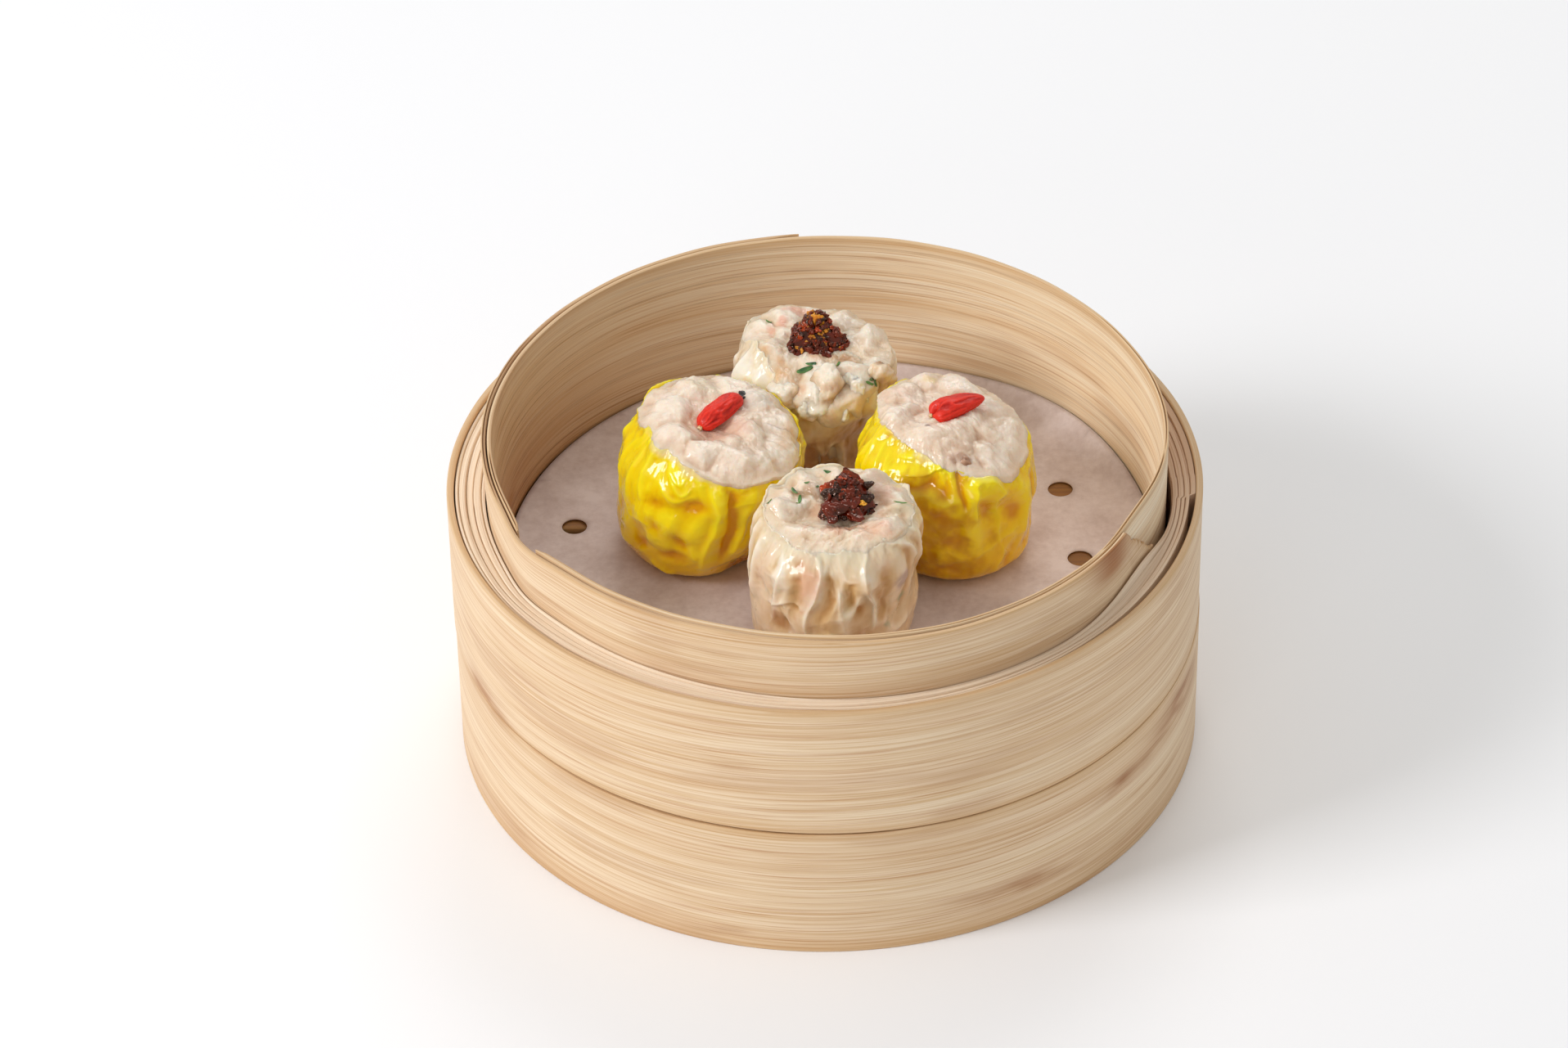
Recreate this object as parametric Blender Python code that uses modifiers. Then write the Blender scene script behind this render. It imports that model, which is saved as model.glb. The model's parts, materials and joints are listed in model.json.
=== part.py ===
"""Four siu mai in a small bamboo steamer basket, with a punched paper liner.

Frame: metres, +Z up, origin at the middle of the basket's base, on the surface it stands on.
The basket is made of bent bamboo hoops round a slatted floor. Each dumpling is an open wrapper
cup with its filling in it, and carries either one goji berry or a heap of chopped sauce.
"""
import math

import bmesh
import bpy
from mathutils import Matrix, Vector

MM = 0.001
GAP = 0.3 * MM                      # clearance that pieces keep where they touch
TURN = math.tau

# ---- basket: outer bands ---------------------------------------------------------------------
HOOP_STEPS = 52                     # flats round every hoop
BAND_RADIUS = 80.0 * MM             # outside of the basket
BAND_WALL = 1.5 * MM
BAND_TOP = 63.7 * MM                # ledge level, where the next basket stands
BAND_SEAM = 32.0 * MM               # the two bands meet edge to edge here

# ---- basket: raised ring and what fills the wall ------------------------------------------------
RING_X = 1.2 * MM                   # the raised ring sits a little off centre
RING_Y = -1.6 * MM
RING_TOP = 77.4 * MM
RING_INNER = 69.7 * MM
LAMINA = 1.0 * MM                   # one bent strip of the raised ring
WRAP_START = math.radians(95.0)     # the outer strip of the ring goes from here ...
WRAP_END_LOW = math.radians(341.0)  # ... to here at the ledge ...
WRAP_END_TOP = math.radians(328.0)  # ... and its end is cut on a slant
WRAP_STEPS = 36
WRAP_RAMP = math.radians(15.0)      # the wall opens for the strip over this arc
CREVICE_END = math.radians(373.0)   # past the strip's end the wall closes up again by here
LEDGE_TOP = 63.2 * MM
LEDGE_MIDDLE = 75.0 * MM            # points nearer the axis than this belong to its inner wall
SPLIT_START = math.radians(354.0)   # a strip ends here and leaves a gap behind the outer band
SPLIT_WIDTH = 1.2 * MM
SPLIT_ARC = math.radians(95.0)      # the gap closes over this arc, towards the front
CUTTER_DEPTH = 30.0 * MM            # box that cuts the strip's end: through the wall,
CUTTER_LENGTH = 120.0 * MM          # along the strip
CUTTER_HEIGHT = 60.0 * MM           # and up
SUPPORT_WALL = 2.8 * MM
SUPPORT_LOW = 15.0 * MM             # recess for the basket below

# ---- basket: floor --------------------------------------------------------------------------
SLAT_TOP = 43.2 * MM
SLAT_THICK = 3.2 * MM
SLAT_COUNT = 7
SLAT_WIDTH = 17.4 * MM
SLAT_PITCH = 19.7 * MM
BATTEN_X = 31.0 * MM
BATTEN_WIDTH = 8.0 * MM
BATTEN_THICK = 3.0 * MM

# ---- paper liner ------------------------------------------------------------------------------
LINER_X = 1.5 * MM
LINER_Y = -1.7 * MM
LINER_RADIUS = 69.1 * MM
LINER_THICK = 0.4 * MM
LINER_HOLES = 14
LINER_HOLE_RADIUS = 2.7 * MM
LINER_HOLE_CIRCLE = 54.8 * MM
LINER_HOLE_X = 0.4 * MM
LINER_HOLE_Y = 2.4 * MM
LINER_HOLE_TURN = math.radians(-7.0)
HOLE_STEPS = 10

# ---- dumplings --------------------------------------------------------------------------------
FOOD_STEPS = 32
FOOD_FLOOR = SLAT_TOP + GAP + LINER_THICK + GAP
WRAPPER_WALL = 1.1 * MM
FILLING_GAP = 0.5 * MM              # between the filling and the cup round it

# Radii are at the foot and at these shares of the height, up to the rim.
STATIONS = (0.0, 0.055, 0.20, 0.42, 0.64, 0.86, 1.0)
INNER_STATIONS = (0.20, 0.42, 0.64, 1.0)     # the hidden inside needs fewer

DUMPLINGS = {
    "golden_left": dict(
        x=-27.3 * MM, y=4.0 * MM, lean_x=0.16, lean_y=0.0,
        radii=(13.2, 15.4, 17.8, 19.0, 19.3, 19.1, 18.2), rim=72.3, rim_tilt=0.7, rim_turn=190,
        pleats=11, pleat_depth=0.35, pleat_sharp=1, pleat_turn=20,
        lip=2.0, crown=2.6, hollow=1.5, lumps=0.8, lump_count=7),
    "golden_right": dict(
        x=27.6 * MM, y=1.4 * MM, lean_x=-0.12, lean_y=0.07,
        radii=(13.0, 15.2, 17.0, 18.0, 18.3, 18.1, 16.9), rim=72.6, rim_tilt=2.2, rim_turn=195,
        pleats=8, pleat_depth=0.45, pleat_sharp=1, pleat_turn=5,
        lip=1.4, crown=3.0, hollow=0.2, lumps=0.5, lump_count=6),
    "white_front": dict(
        x=1.2 * MM, y=-27.2 * MM, lean_x=0.0, lean_y=0.02,
        radii=(14.6, 16.4, 17.4, 18.0, 18.2, 17.6, 15.4), rim=73.4, rim_tilt=0.3, rim_turn=270,
        pleats=9, pleat_depth=0.8, pleat_sharp=2, pleat_turn=-12,
        lip=0.7, crown=0.9, hollow=0.0, lumps=0.3, lump_count=9),
    "white_back": dict(
        x=-2.9 * MM, y=30.2 * MM, lean_x=0.0, lean_y=0.04,
        radii=(12.8, 13.9, 13.8, 14.4, 16.4, 18.2, 17.2), rim=73.0, rim_tilt=0.3, rim_turn=200,
        pleats=9, pleat_depth=0.7, pleat_sharp=2, pleat_turn=8,
        lip=1.0, crown=1.6, hollow=0.0, lumps=0.7, lump_count=7),
}
# Neighbours that lie against each other are pressed flat where they meet.
TOUCHING = (("golden_left", "white_front"), ("golden_right", "white_front"),
            ("golden_left", "white_back"), ("golden_right", "white_back"))

# ---- toppings ---------------------------------------------------------------------------------
GOJI_LENGTH = 12.4 * MM
GOJI_WIDTH = 5.4 * MM
GOJI_THICK = 4.2 * MM
GOJI_RIDGES = 5
# dumpling: place on the filling from the rim's centre, turn in plan and tilt, in degrees
GOJI = {"golden_left": dict(x=0.7, y=2.4, turn=48.0, tilt=6.0),
        "golden_right": dict(x=4.3, y=1.0, turn=24.0, tilt=4.0)}
# dumpling: place, reach in plan, stretch front to back, height, and how far the peak is off
SAUCE = {"white_front": dict(x=2.6, y=2.0, reach=5.7, stretch=1.25, height=5.2,
                             peak_x=0.2, peak_y=2.6),
         "white_back": dict(x=0.6, y=1.2, reach=6.3, stretch=1.12, height=5.8,
                            peak_x=0.5, peak_y=3.0)}
SAUCE_STEPS = 20

COLOURS = {                          # linear base colour, roughness
    "bamboo_outer": ((0.72, 0.52, 0.30), 0.55),
    "bamboo_inner": ((0.62, 0.42, 0.22), 0.60),
    "bamboo_floor": ((0.50, 0.34, 0.18), 0.65),
    "paper": ((0.68, 0.60, 0.57), 0.90),
    "golden_wrapper": ((0.80, 0.55, 0.01), 0.30),
    "white_wrapper": ((0.72, 0.60, 0.42), 0.30),
    "filling": ((0.78, 0.64, 0.50), 0.35),
    "goji": ((0.62, 0.03, 0.02), 0.40),
    "sauce": ((0.12, 0.02, 0.01), 0.20),
}


# ---- helpers ------------------------------------------------------------------------------------
def clear_scene():
    """Remove whatever objects the file holds."""
    for old in list(bpy.data.objects):
        bpy.data.objects.remove(old, do_unlink=True)


def new_collection(name):
    """A collection linked to the scene."""
    made = bpy.data.collections.new(name)
    bpy.context.scene.collection.children.link(made)
    return made


def material(name):
    """The named Principled material, made on its first use."""
    found = bpy.data.materials.get(name)
    if found:
        return found
    colour, roughness = COLOURS[name]
    made = bpy.data.materials.new(name)
    made.use_nodes = True
    shader = made.node_tree.nodes["Principled BSDF"]
    shader.inputs["Base Color"].default_value = (*colour, 1.0)
    shader.inputs["Roughness"].default_value = roughness
    shader.inputs["Metallic"].default_value = 0.0
    return made


def add_object(name, mesh, finish, collection):
    """An object for a mesh, with its material, shaded smooth except at its corners."""
    mesh.name = name
    mesh.materials.clear()
    mesh.materials.append(material(finish))
    mesh.shade_smooth()
    mesh.set_sharp_from_angle(angle=math.radians(40))
    piece = bpy.data.objects.new(name, mesh)
    collection.objects.link(piece)
    return piece


def turned_mesh(profile, steps, sweep=TURN, ring=False):
    """Mesh of a profile of (radius, height) turned about Z.

    The profile runs down its outer side. A ring's profile closes on itself, and any other
    profile starts and ends on the axis. A sweep of less than a turn gets flat end faces.
    """
    count = len(profile)
    links = [(i, i + 1) for i in range(count - 1)] + ([(count - 1, 0)] if ring else [])
    outline = bpy.data.meshes.new("outline")
    outline.from_pydata([(radius, 0.0, height) for radius, height in profile], links, [])
    piece = bpy.data.objects.new("outline", outline)
    bpy.context.scene.collection.objects.link(piece)
    screw = piece.modifiers.new("turn", "SCREW")
    screw.axis = "Z"
    screw.angle = sweep
    screw.steps = screw.render_steps = steps
    screw.use_merge_vertices = True
    screw.merge_threshold = 0.01 * MM
    ready = piece.evaluated_get(bpy.context.evaluated_depsgraph_get())
    mesh = bpy.data.meshes.new_from_object(ready)
    bpy.data.objects.remove(piece, do_unlink=True)
    if sweep < TURN:
        work = bmesh.new()
        work.from_mesh(mesh)
        rims = [edge for edge in work.edges if edge.is_boundary]
        bmesh.ops.holes_fill(work, edges=rims)
        bmesh.ops.recalc_face_normals(work, faces=work.faces)
        work.to_mesh(mesh)
        work.free()
    return mesh


def move_points(mesh, rule):
    """Move every point of a mesh to where a rule puts it."""
    for point in mesh.vertices:
        point.co = rule(point.co)


def box_mesh(size, centre):
    """A plain box."""
    work = bmesh.new()
    place = Matrix.Translation(centre) @ Matrix.Diagonal((*size, 1.0))
    bmesh.ops.create_cube(work, size=1.0, matrix=place)
    mesh = bpy.data.meshes.new("box")
    work.to_mesh(mesh)
    work.free()
    return mesh


def disc_mesh(centres, radius, thick, steps):
    """Flat discs of one size at the given centres."""
    work = bmesh.new()
    for centre in centres:
        bmesh.ops.create_cone(work, cap_ends=True, segments=steps, radius1=radius,
                              radius2=radius, depth=thick, matrix=Matrix.Translation(centre))
    mesh = bpy.data.meshes.new("discs")
    work.to_mesh(mesh)
    work.free()
    return mesh


def blend(value, low, high):
    """Smooth step from 0 at low to 1 at high."""
    share = min(1.0, max(0.0, (value - low) / (high - low)))
    return share * share * (3.0 - 2.0 * share)


def ring_profile(inner, outer, low, top):
    """Cross-section of a hoop, ordered down its outer side."""
    return [(outer, top), (outer, low), (inner, low), (inner, top)]


# ---- basket -------------------------------------------------------------------------------------
def ledge_inner_radius(turn):
    """Inside of the ledge hoop round the raised ring's centre.

    It is wider where the ring's outer strip passes, and closes up on the ring elsewhere.
    """
    close = RING_INNER + LAMINA + GAP
    wide = RING_INNER + 2 * LAMINA + 2 * GAP
    turn = turn % TURN
    if turn < WRAP_START - WRAP_RAMP:
        turn += TURN
    opened = blend(turn, WRAP_START - WRAP_RAMP, WRAP_START - math.radians(1.0))
    closed = blend(turn, WRAP_END_LOW, CREVICE_END)
    return close + (wide - close) * opened * (1.0 - closed)


def ledge_outer_radius(turn):
    """Outside of the ledge hoop round the basket's centre, with the gap behind the band."""
    full = BAND_RADIUS - BAND_WALL - GAP
    back = (SPLIT_START - turn) % TURN
    if back > SPLIT_ARC:
        return full
    return full - SPLIT_WIDTH * (1.0 - back / SPLIT_ARC)


def shape_ledge(point):
    """Carry the ledge hoop's two walls to their own centres and radii."""
    turn = math.atan2(point.y, point.x)
    if point.xy.length < LEDGE_MIDDLE:
        radius = ledge_inner_radius(turn)
        return Vector((RING_X + radius * math.cos(turn), RING_Y + radius * math.sin(turn), point.z))
    radius = ledge_outer_radius(turn)
    return Vector((radius * math.cos(turn), radius * math.sin(turn), point.z))


def add_cutter(name, mesh, finish, cutters):
    """An object that only shapes others: it isn't rendered."""
    cutter = add_object(name, mesh, finish, cutters)
    cutter.hide_render = True
    cutter.display_type = "WIRE"
    return cutter


def slant_cutter(cutters):
    """A box whose lower face is the slanted plane that the wrap strip's end is cut along."""
    turn = (WRAP_END_LOW + WRAP_END_TOP) / 2
    run = (RING_INNER + 2 * LAMINA) * (WRAP_END_LOW - WRAP_END_TOP)
    slope = math.atan2(RING_TOP - LEDGE_TOP, run)
    radius = RING_INNER + LAMINA
    middle = Vector((RING_X + radius * math.cos(turn), RING_Y + radius * math.sin(turn),
                     (LEDGE_TOP + RING_TOP) / 2))
    mesh = box_mesh((CUTTER_DEPTH, CUTTER_LENGTH, CUTTER_HEIGHT), (0.0, 0.0, CUTTER_HEIGHT / 2))
    mesh.transform(Matrix.Translation(middle) @ Matrix.Rotation(turn, 4, "Z")
                   @ Matrix.Rotation(-slope, 4, "X"))
    return add_cutter("wrap_end_cutter", mesh, "bamboo_outer", cutters)


def shape_with(piece, cutter, operation="DIFFERENCE"):
    """Take a cutter's volume out of a piece, or keep only what is inside it."""
    cut = piece.modifiers.new("cut", "BOOLEAN")
    cut.operation = operation
    cut.object = cutter


def make_hoop(name, inner, outer, low, top, finish, collection, centre=(0.0, 0.0)):
    """A plain hoop of rectangular section."""
    mesh = turned_mesh(ring_profile(inner, outer, low, top), HOOP_STEPS, ring=True)
    piece = add_object(name, mesh, finish, collection)
    mesh.transform(Matrix.Translation((*centre, 0.0)))
    return piece


def make_basket_wall(collection, cutters):
    """The outer bands, the ledge hoop, the raised ring with its wrap, and the support hoop."""
    inner = BAND_RADIUS - BAND_WALL
    ring = (RING_X, RING_Y)
    hoop_foot = SLAT_TOP + GAP
    make_hoop("outer_band_lower", inner, BAND_RADIUS, 0.0, BAND_SEAM - GAP / 2,
              "bamboo_outer", collection)
    make_hoop("outer_band_upper", inner, BAND_RADIUS, BAND_SEAM + GAP / 2, BAND_TOP,
              "bamboo_outer", collection)
    make_hoop("ring_lamina", RING_INNER, RING_INNER + LAMINA, hoop_foot, RING_TOP,
              "bamboo_inner", collection, ring)
    make_hoop("support_hoop", RING_INNER + LAMINA - SUPPORT_WALL, RING_INNER + LAMINA,
              SUPPORT_LOW, SLAT_TOP - SLAT_THICK - GAP, "bamboo_inner", collection, ring)

    section = ring_profile(RING_INNER, BAND_RADIUS, 0.0, LEDGE_TOP)
    ledge = turned_mesh(section, HOOP_STEPS, ring=True)
    move_points(ledge, shape_ledge)
    add_object("ledge_hoop", ledge, "bamboo_inner", collection)

    wrap_inner = RING_INNER + LAMINA + GAP
    section = ring_profile(wrap_inner, wrap_inner + LAMINA, hoop_foot, RING_TOP - GAP)
    wrap = turned_mesh(section, WRAP_STEPS, sweep=WRAP_END_LOW - WRAP_START, ring=True)
    place = Matrix.Translation((*ring, 0.0)) @ Matrix.Rotation(WRAP_START, 4, "Z")
    wrap.transform(place)
    strip = add_object("ring_wrap", wrap, "bamboo_outer", collection)
    shape_with(strip, slant_cutter(cutters))


def make_floor(collection, cutters):
    """Slats across the basket on two battens, trimmed to the round of the wall."""
    middle = SLAT_TOP - SLAT_THICK / 2
    reach = RING_INNER + LAMINA - GAP
    disc = disc_mesh([(RING_X, RING_Y, middle)], reach, 2 * SLAT_THICK, HOOP_STEPS)
    trim = add_cutter("floor_trim", disc, "bamboo_floor", cutters)
    for index in range(SLAT_COUNT):
        offset = (index - (SLAT_COUNT - 1) / 2) * SLAT_PITCH
        mesh = box_mesh((2 * BAND_RADIUS, SLAT_WIDTH, SLAT_THICK), (RING_X, RING_Y + offset, middle))
        slat = add_object(f"floor_slat_{index + 1}", mesh, "bamboo_floor", collection)
        shape_with(slat, trim, "INTERSECT")
    room = RING_INNER + LAMINA - SUPPORT_WALL - GAP
    half = math.sqrt(room ** 2 - (BATTEN_X + BATTEN_WIDTH / 2) ** 2)
    for index, side in enumerate((-1, 1)):
        height = SLAT_TOP - SLAT_THICK - GAP - BATTEN_THICK / 2
        centre = (RING_X + side * BATTEN_X, RING_Y, height)
        mesh = box_mesh((BATTEN_WIDTH, 2 * half, BATTEN_THICK), centre)
        add_object(f"floor_batten_{index + 1}", mesh, "bamboo_floor", collection)


def make_liner(collection, cutters):
    """Round sheet of paper with a ring of punched holes."""
    middle = SLAT_TOP + GAP + LINER_THICK / 2
    sheet = disc_mesh([(LINER_X, LINER_Y, middle)], LINER_RADIUS, LINER_THICK, HOOP_STEPS)
    piece = add_object("paper_liner", sheet, "paper", collection)
    turns = [LINER_HOLE_TURN + index * TURN / LINER_HOLES for index in range(LINER_HOLES)]
    places = [(LINER_HOLE_X + LINER_HOLE_CIRCLE * math.cos(turn),
               LINER_HOLE_Y + LINER_HOLE_CIRCLE * math.sin(turn), middle) for turn in turns]
    punches = disc_mesh(places, LINER_HOLE_RADIUS, 4 * LINER_THICK, HOLE_STEPS)
    shape_with(piece, add_cutter("liner_punches", punches, "paper", cutters))


# ---- dumplings -----------------------------------------------------------------------------------
class Dumpling:
    """One siu mai: a turned cup and filling, then folded, leaned and pressed by its neighbours."""

    def __init__(self, name, size):
        self.name = name
        self.size = size
        self.height = size["rim"] * MM - FOOD_FLOOR
        self.radii = [radius * MM for radius in size["radii"]]

    def axis(self, z):
        """Centre of the leaning body at a height."""
        rise = z - FOOD_FLOOR
        return Vector((self.size["x"] + self.size["lean_x"] * rise,
                       self.size["y"] + self.size["lean_y"] * rise))

    def radius(self, z):
        """Outside radius at a height, before folding: straight between the stations."""
        share = (z - FOOD_FLOOR) / self.height
        for index in range(len(STATIONS) - 1):
            low, high = STATIONS[index], STATIONS[index + 1]
            if share <= high:
                part = max(0.0, (share - low) / (high - low))
                return self.radii[index] + part * (self.radii[index + 1] - self.radii[index])
        return self.radii[-1]

    def fold(self, turn, z):
        """Radial push of the pleats: none at the foot, full from mid height up."""
        size = self.size
        share = max(0.0, (z - FOOD_FLOOR) / self.height)
        wave = math.cos(size["pleats"] * (turn - math.radians(size["pleat_turn"])) + 0.6 * share)
        sharp = size["pleat_sharp"]
        crest = ((1.0 + wave) / 2.0) ** sharp - 0.5 ** sharp
        swell = 0.35 * math.sin(3 * turn + 1.5 * share + size["pleat_turn"])
        return size["pleat_depth"] * MM * (crest + swell) * 1.4 * blend(share, 0.05, 0.6)

    def rim_lift(self, turn):
        """Height of the rim above or below its mean, round the dumpling."""
        size = self.size
        tilt = size["rim_tilt"] * math.cos(turn - math.radians(size["rim_turn"]))
        return MM * (tilt + 0.25 * math.cos(5 * turn + size["pleat_turn"]))

    def lump(self, turn, share):
        """Lumps of the filling, tallest near its edge and none where a topping sits."""
        size = self.size
        count = size["lump_count"]
        wave = math.cos(count * turn + size["pleat_turn"]) + 0.6 * math.cos((count - 2) * turn + 1.3)
        return size["lumps"] * MM * wave * blend(share, 0.62, 0.85)

    def place(self, point):
        """Carry a point of the turned shape to its place in the basket."""
        radius = point.xy.length
        turn = math.atan2(point.y, point.x) if radius > 0.01 * MM else 0.0
        z = point.z
        rim_z = self.size["rim"] * MM
        rise = min(1.0, (z - FOOD_FLOOR) / self.height)
        inside = min(1.0, radius / self.radius(min(z, rim_z)))
        depth = max(0.0, self.radius(min(z, rim_z)) - radius)
        new_z = z + self.rim_lift(turn) * rise * blend(inside, 0.4, 0.9)
        if z > rim_z + GAP:
            new_z += self.lump(turn, inside) * blend(z, rim_z + GAP, rim_z + 1.5 * MM)
        radius += self.fold(turn, min(z, rim_z)) * blend(inside, 0.5, 0.9)
        centre = self.axis(new_z)
        flat = centre + Vector((radius * math.cos(turn), radius * math.sin(turn)))
        for other in self.pressed_by:
            flat = self.press(flat, centre, other, new_z, depth)
        return Vector((flat.x, flat.y, new_z))

    def press(self, flat, centre, other, z, depth):
        """Stop a point at the plane between this dumpling and a neighbour."""
        way = other.axis(z) - centre
        mine = self.radii[4] / (self.radii[4] + other.radii[4])
        limit = way.length * mine - GAP / 2 - depth
        way.normalize()
        over = (flat - centre).dot(way) - limit
        return flat - way * over if over > 0.0 else flat

    def cup_profile(self):
        """Wrapper: up the inside from the middle, over the rim and down the outside."""
        stations = list(zip(STATIONS, self.radii))
        inside = [(radius - WRAPPER_WALL, FOOD_FLOOR + share * self.height)
                  for share, radius in stations if share in INNER_STATIONS]
        foot = (self.radii[1] - WRAPPER_WALL - 0.6 * MM, FOOD_FLOOR + WRAPPER_WALL)
        outside = [(radius, FOOD_FLOOR + share * self.height) for share, radius in reversed(stations)]
        return [(0.0, foot[1]), foot, *inside, *outside, (0.0, FOOD_FLOOR)]

    def filling_profile(self):
        """Filling: from its crown out over the rim, then down inside the wrapper."""
        size = self.size
        rim_z = size["rim"] * MM
        edge = self.radii[-1]
        inner = WRAPPER_WALL + FILLING_GAP
        lip = size["lip"] * MM
        crown = rim_z + size["crown"] * MM
        middle = crown - size["hollow"] * MM
        top = [(0.0, middle), (0.42 * edge, middle), (0.68 * edge, crown),
               (0.87 * edge, crown - 0.25 * size["crown"] * MM),
               (edge - GAP, rim_z + GAP + 0.5 * lip), (edge - 2 * GAP, rim_z + GAP)]
        side = [(radius - inner, FOOD_FLOOR + share * self.height)
                for share, radius in reversed(list(zip(STATIONS, self.radii)))
                if share in INNER_STATIONS]
        side[0] = (side[0][0], rim_z + GAP)
        low = FOOD_FLOOR + WRAPPER_WALL + FILLING_GAP
        return top + side + [(self.radii[1] - inner - 0.8 * MM, low), (0.0, low)]

    def seat(self):
        """Centre of the flat top that a topping sits on."""
        size = self.size
        height = (size["rim"] + size["crown"] - size["hollow"]) * MM
        flat = self.axis(height)
        return Vector((flat.x, flat.y, height))

    def build(self, collection):
        """Make the wrapper and the filling."""
        wrapper = "golden_wrapper" if self.name.startswith("golden") else "white_wrapper"
        for part, profile, finish in (("wrapper", self.cup_profile(), wrapper),
                                      ("filling", self.filling_profile(), "filling")):
            mesh = turned_mesh(profile, FOOD_STEPS)
            move_points(mesh, self.place)
            add_object(f"{self.name}_{part}", mesh, finish, collection)


# ---- toppings --------------------------------------------------------------------------------------
def make_goji(name, seat, size, collection):
    """A dried goji berry: a ridged spindle lying on the filling."""
    work = bmesh.new()
    bmesh.ops.create_uvsphere(work, u_segments=12, v_segments=8, radius=0.5)
    for point in work.verts:
        along = point.co.z
        around = math.atan2(point.co.y, point.co.x)
        ridge = 1.0 + 0.07 * math.cos(GOJI_RIDGES * around + 3.0 * along)
        point.co = Vector((along * GOJI_LENGTH, point.co.x * GOJI_WIDTH * ridge,
                           point.co.y * GOJI_THICK * ridge))
    mesh = bpy.data.meshes.new(name)
    bmesh.ops.recalc_face_normals(work, faces=work.faces)
    work.to_mesh(mesh)
    work.free()
    piece = add_object(name, mesh, "goji", collection)
    tilt = math.radians(size["tilt"])
    rest = math.hypot(GOJI_THICK / 2 * 1.08 * math.cos(tilt), GOJI_LENGTH / 2 * math.sin(tilt))
    piece.location = seat + Vector((size["x"] * MM, size["y"] * MM, rest + GAP))
    piece.rotation_euler = (0.0, -tilt, math.radians(size["turn"]))


def make_sauce(name, seat, size, collection):
    """A heap of chopped sauce with an uneven outline and a peak off its middle."""
    reach = size["reach"] * MM
    height = size["height"] * MM
    profile = [(0.0, height), (0.28 * reach, 0.84 * height), (0.60 * reach, 0.55 * height),
               (0.88 * reach, 0.28 * height), (reach, 0.10 * height), (0.93 * reach, 0.0),
               (0.0, 0.0)]
    mesh = turned_mesh(profile, SAUCE_STEPS)

    def heap(point):
        turn = math.atan2(point.y, point.x)
        rise = point.z / height
        outline = 1.0 + 0.10 * math.cos(3 * turn + 0.7) + 0.07 * math.sin(5 * turn + 2.0)
        knob = 0.07 * height * math.cos(6 * turn + 9 * rise) * blend(rise, 0.0, 0.3)
        if point.xy.length < 0.1 * reach:
            knob = 0.0
        return Vector((point.x * outline + size["peak_x"] * MM * rise,
                       point.y * outline * size["stretch"] + size["peak_y"] * MM * rise,
                       point.z + knob))

    move_points(mesh, heap)
    piece = add_object(name, mesh, "sauce", collection)
    piece.location = seat + Vector((size["x"] * MM, size["y"] * MM, GAP))


def main():
    """Build the basket, the liner, the dumplings and their toppings."""
    clear_scene()
    parts = new_collection("siu_mai_in_steamer_basket")
    cutters = new_collection("cutters")
    make_basket_wall(parts, cutters)
    make_floor(parts, cutters)
    make_liner(parts, cutters)

    dumplings = {name: Dumpling(name, size) for name, size in DUMPLINGS.items()}
    for dumpling in dumplings.values():
        dumpling.pressed_by = [dumplings[b if a == dumpling.name else a]
                               for a, b in TOUCHING if dumpling.name in (a, b)]
    for dumpling in dumplings.values():
        dumpling.build(parts)
    for name, size in GOJI.items():
        make_goji(f"{name}_goji", dumplings[name].seat(), size, parts)
    for name, size in SAUCE.items():
        make_sauce(f"{name}_sauce", dumplings[name].seat(), size, parts)


main()
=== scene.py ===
"""Four siu mai in a small bamboo steamer basket: the looks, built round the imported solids.

Lengths are in millimetres and angles in degrees unless a name says otherwise; a mesh is turned
to metres when it is made. +Z is up, and a turn of 0 degrees points along +X.
"""

import json
import logging
import math
from collections.abc import Callable
from dataclasses import dataclass, field
from enum import Enum
from functools import partial

import bpy
import numpy as np
from mathutils import Matrix, Vector

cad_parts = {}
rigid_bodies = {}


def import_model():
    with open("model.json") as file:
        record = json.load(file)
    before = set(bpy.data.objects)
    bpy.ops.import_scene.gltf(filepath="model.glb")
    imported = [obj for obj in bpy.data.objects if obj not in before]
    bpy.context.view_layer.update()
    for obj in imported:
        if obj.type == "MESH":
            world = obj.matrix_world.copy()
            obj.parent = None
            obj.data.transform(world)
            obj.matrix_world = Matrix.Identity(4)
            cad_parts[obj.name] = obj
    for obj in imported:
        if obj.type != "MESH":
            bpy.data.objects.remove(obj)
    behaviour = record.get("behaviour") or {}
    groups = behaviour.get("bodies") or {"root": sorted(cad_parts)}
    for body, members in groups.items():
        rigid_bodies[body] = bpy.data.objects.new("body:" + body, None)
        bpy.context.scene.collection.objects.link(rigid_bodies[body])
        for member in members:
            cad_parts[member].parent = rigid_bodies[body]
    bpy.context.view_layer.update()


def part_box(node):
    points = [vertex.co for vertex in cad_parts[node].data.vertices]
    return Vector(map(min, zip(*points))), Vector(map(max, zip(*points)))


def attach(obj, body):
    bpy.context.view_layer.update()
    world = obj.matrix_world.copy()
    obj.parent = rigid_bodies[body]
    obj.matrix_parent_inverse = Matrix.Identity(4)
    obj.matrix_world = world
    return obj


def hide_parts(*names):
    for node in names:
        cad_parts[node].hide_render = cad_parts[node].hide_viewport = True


LOG = logging.getLogger("siu_mai")
MM = 0.001
BODY = "root"

# What the basket and its contents share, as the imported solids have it.
RING_CENTRE = (1.2, -1.6)
RING_INNER = 69.7
STRIP = 1.0                 # thickness of one strip of the raised ring
PLAY = 0.3                  # between pieces that touch
FLOOR_STRIP_TOP = 43.2
HOOP_FOOT = FLOOR_STRIP_TOP + PLAY
RING_TOP = 77.4
LEDGE_TOP = 63.2
FOOD_FLOOR = 44.2
MIX_FACTOR, MIX_A, MIX_B = 0, 6, 7      # a colour Mix node's sockets

Array = np.ndarray
Marks = dict[str, Array]        # values kept on a piece's points
Pairs = tuple[tuple[float, float], ...]
AddNode = Callable[..., bpy.types.Node]


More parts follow.
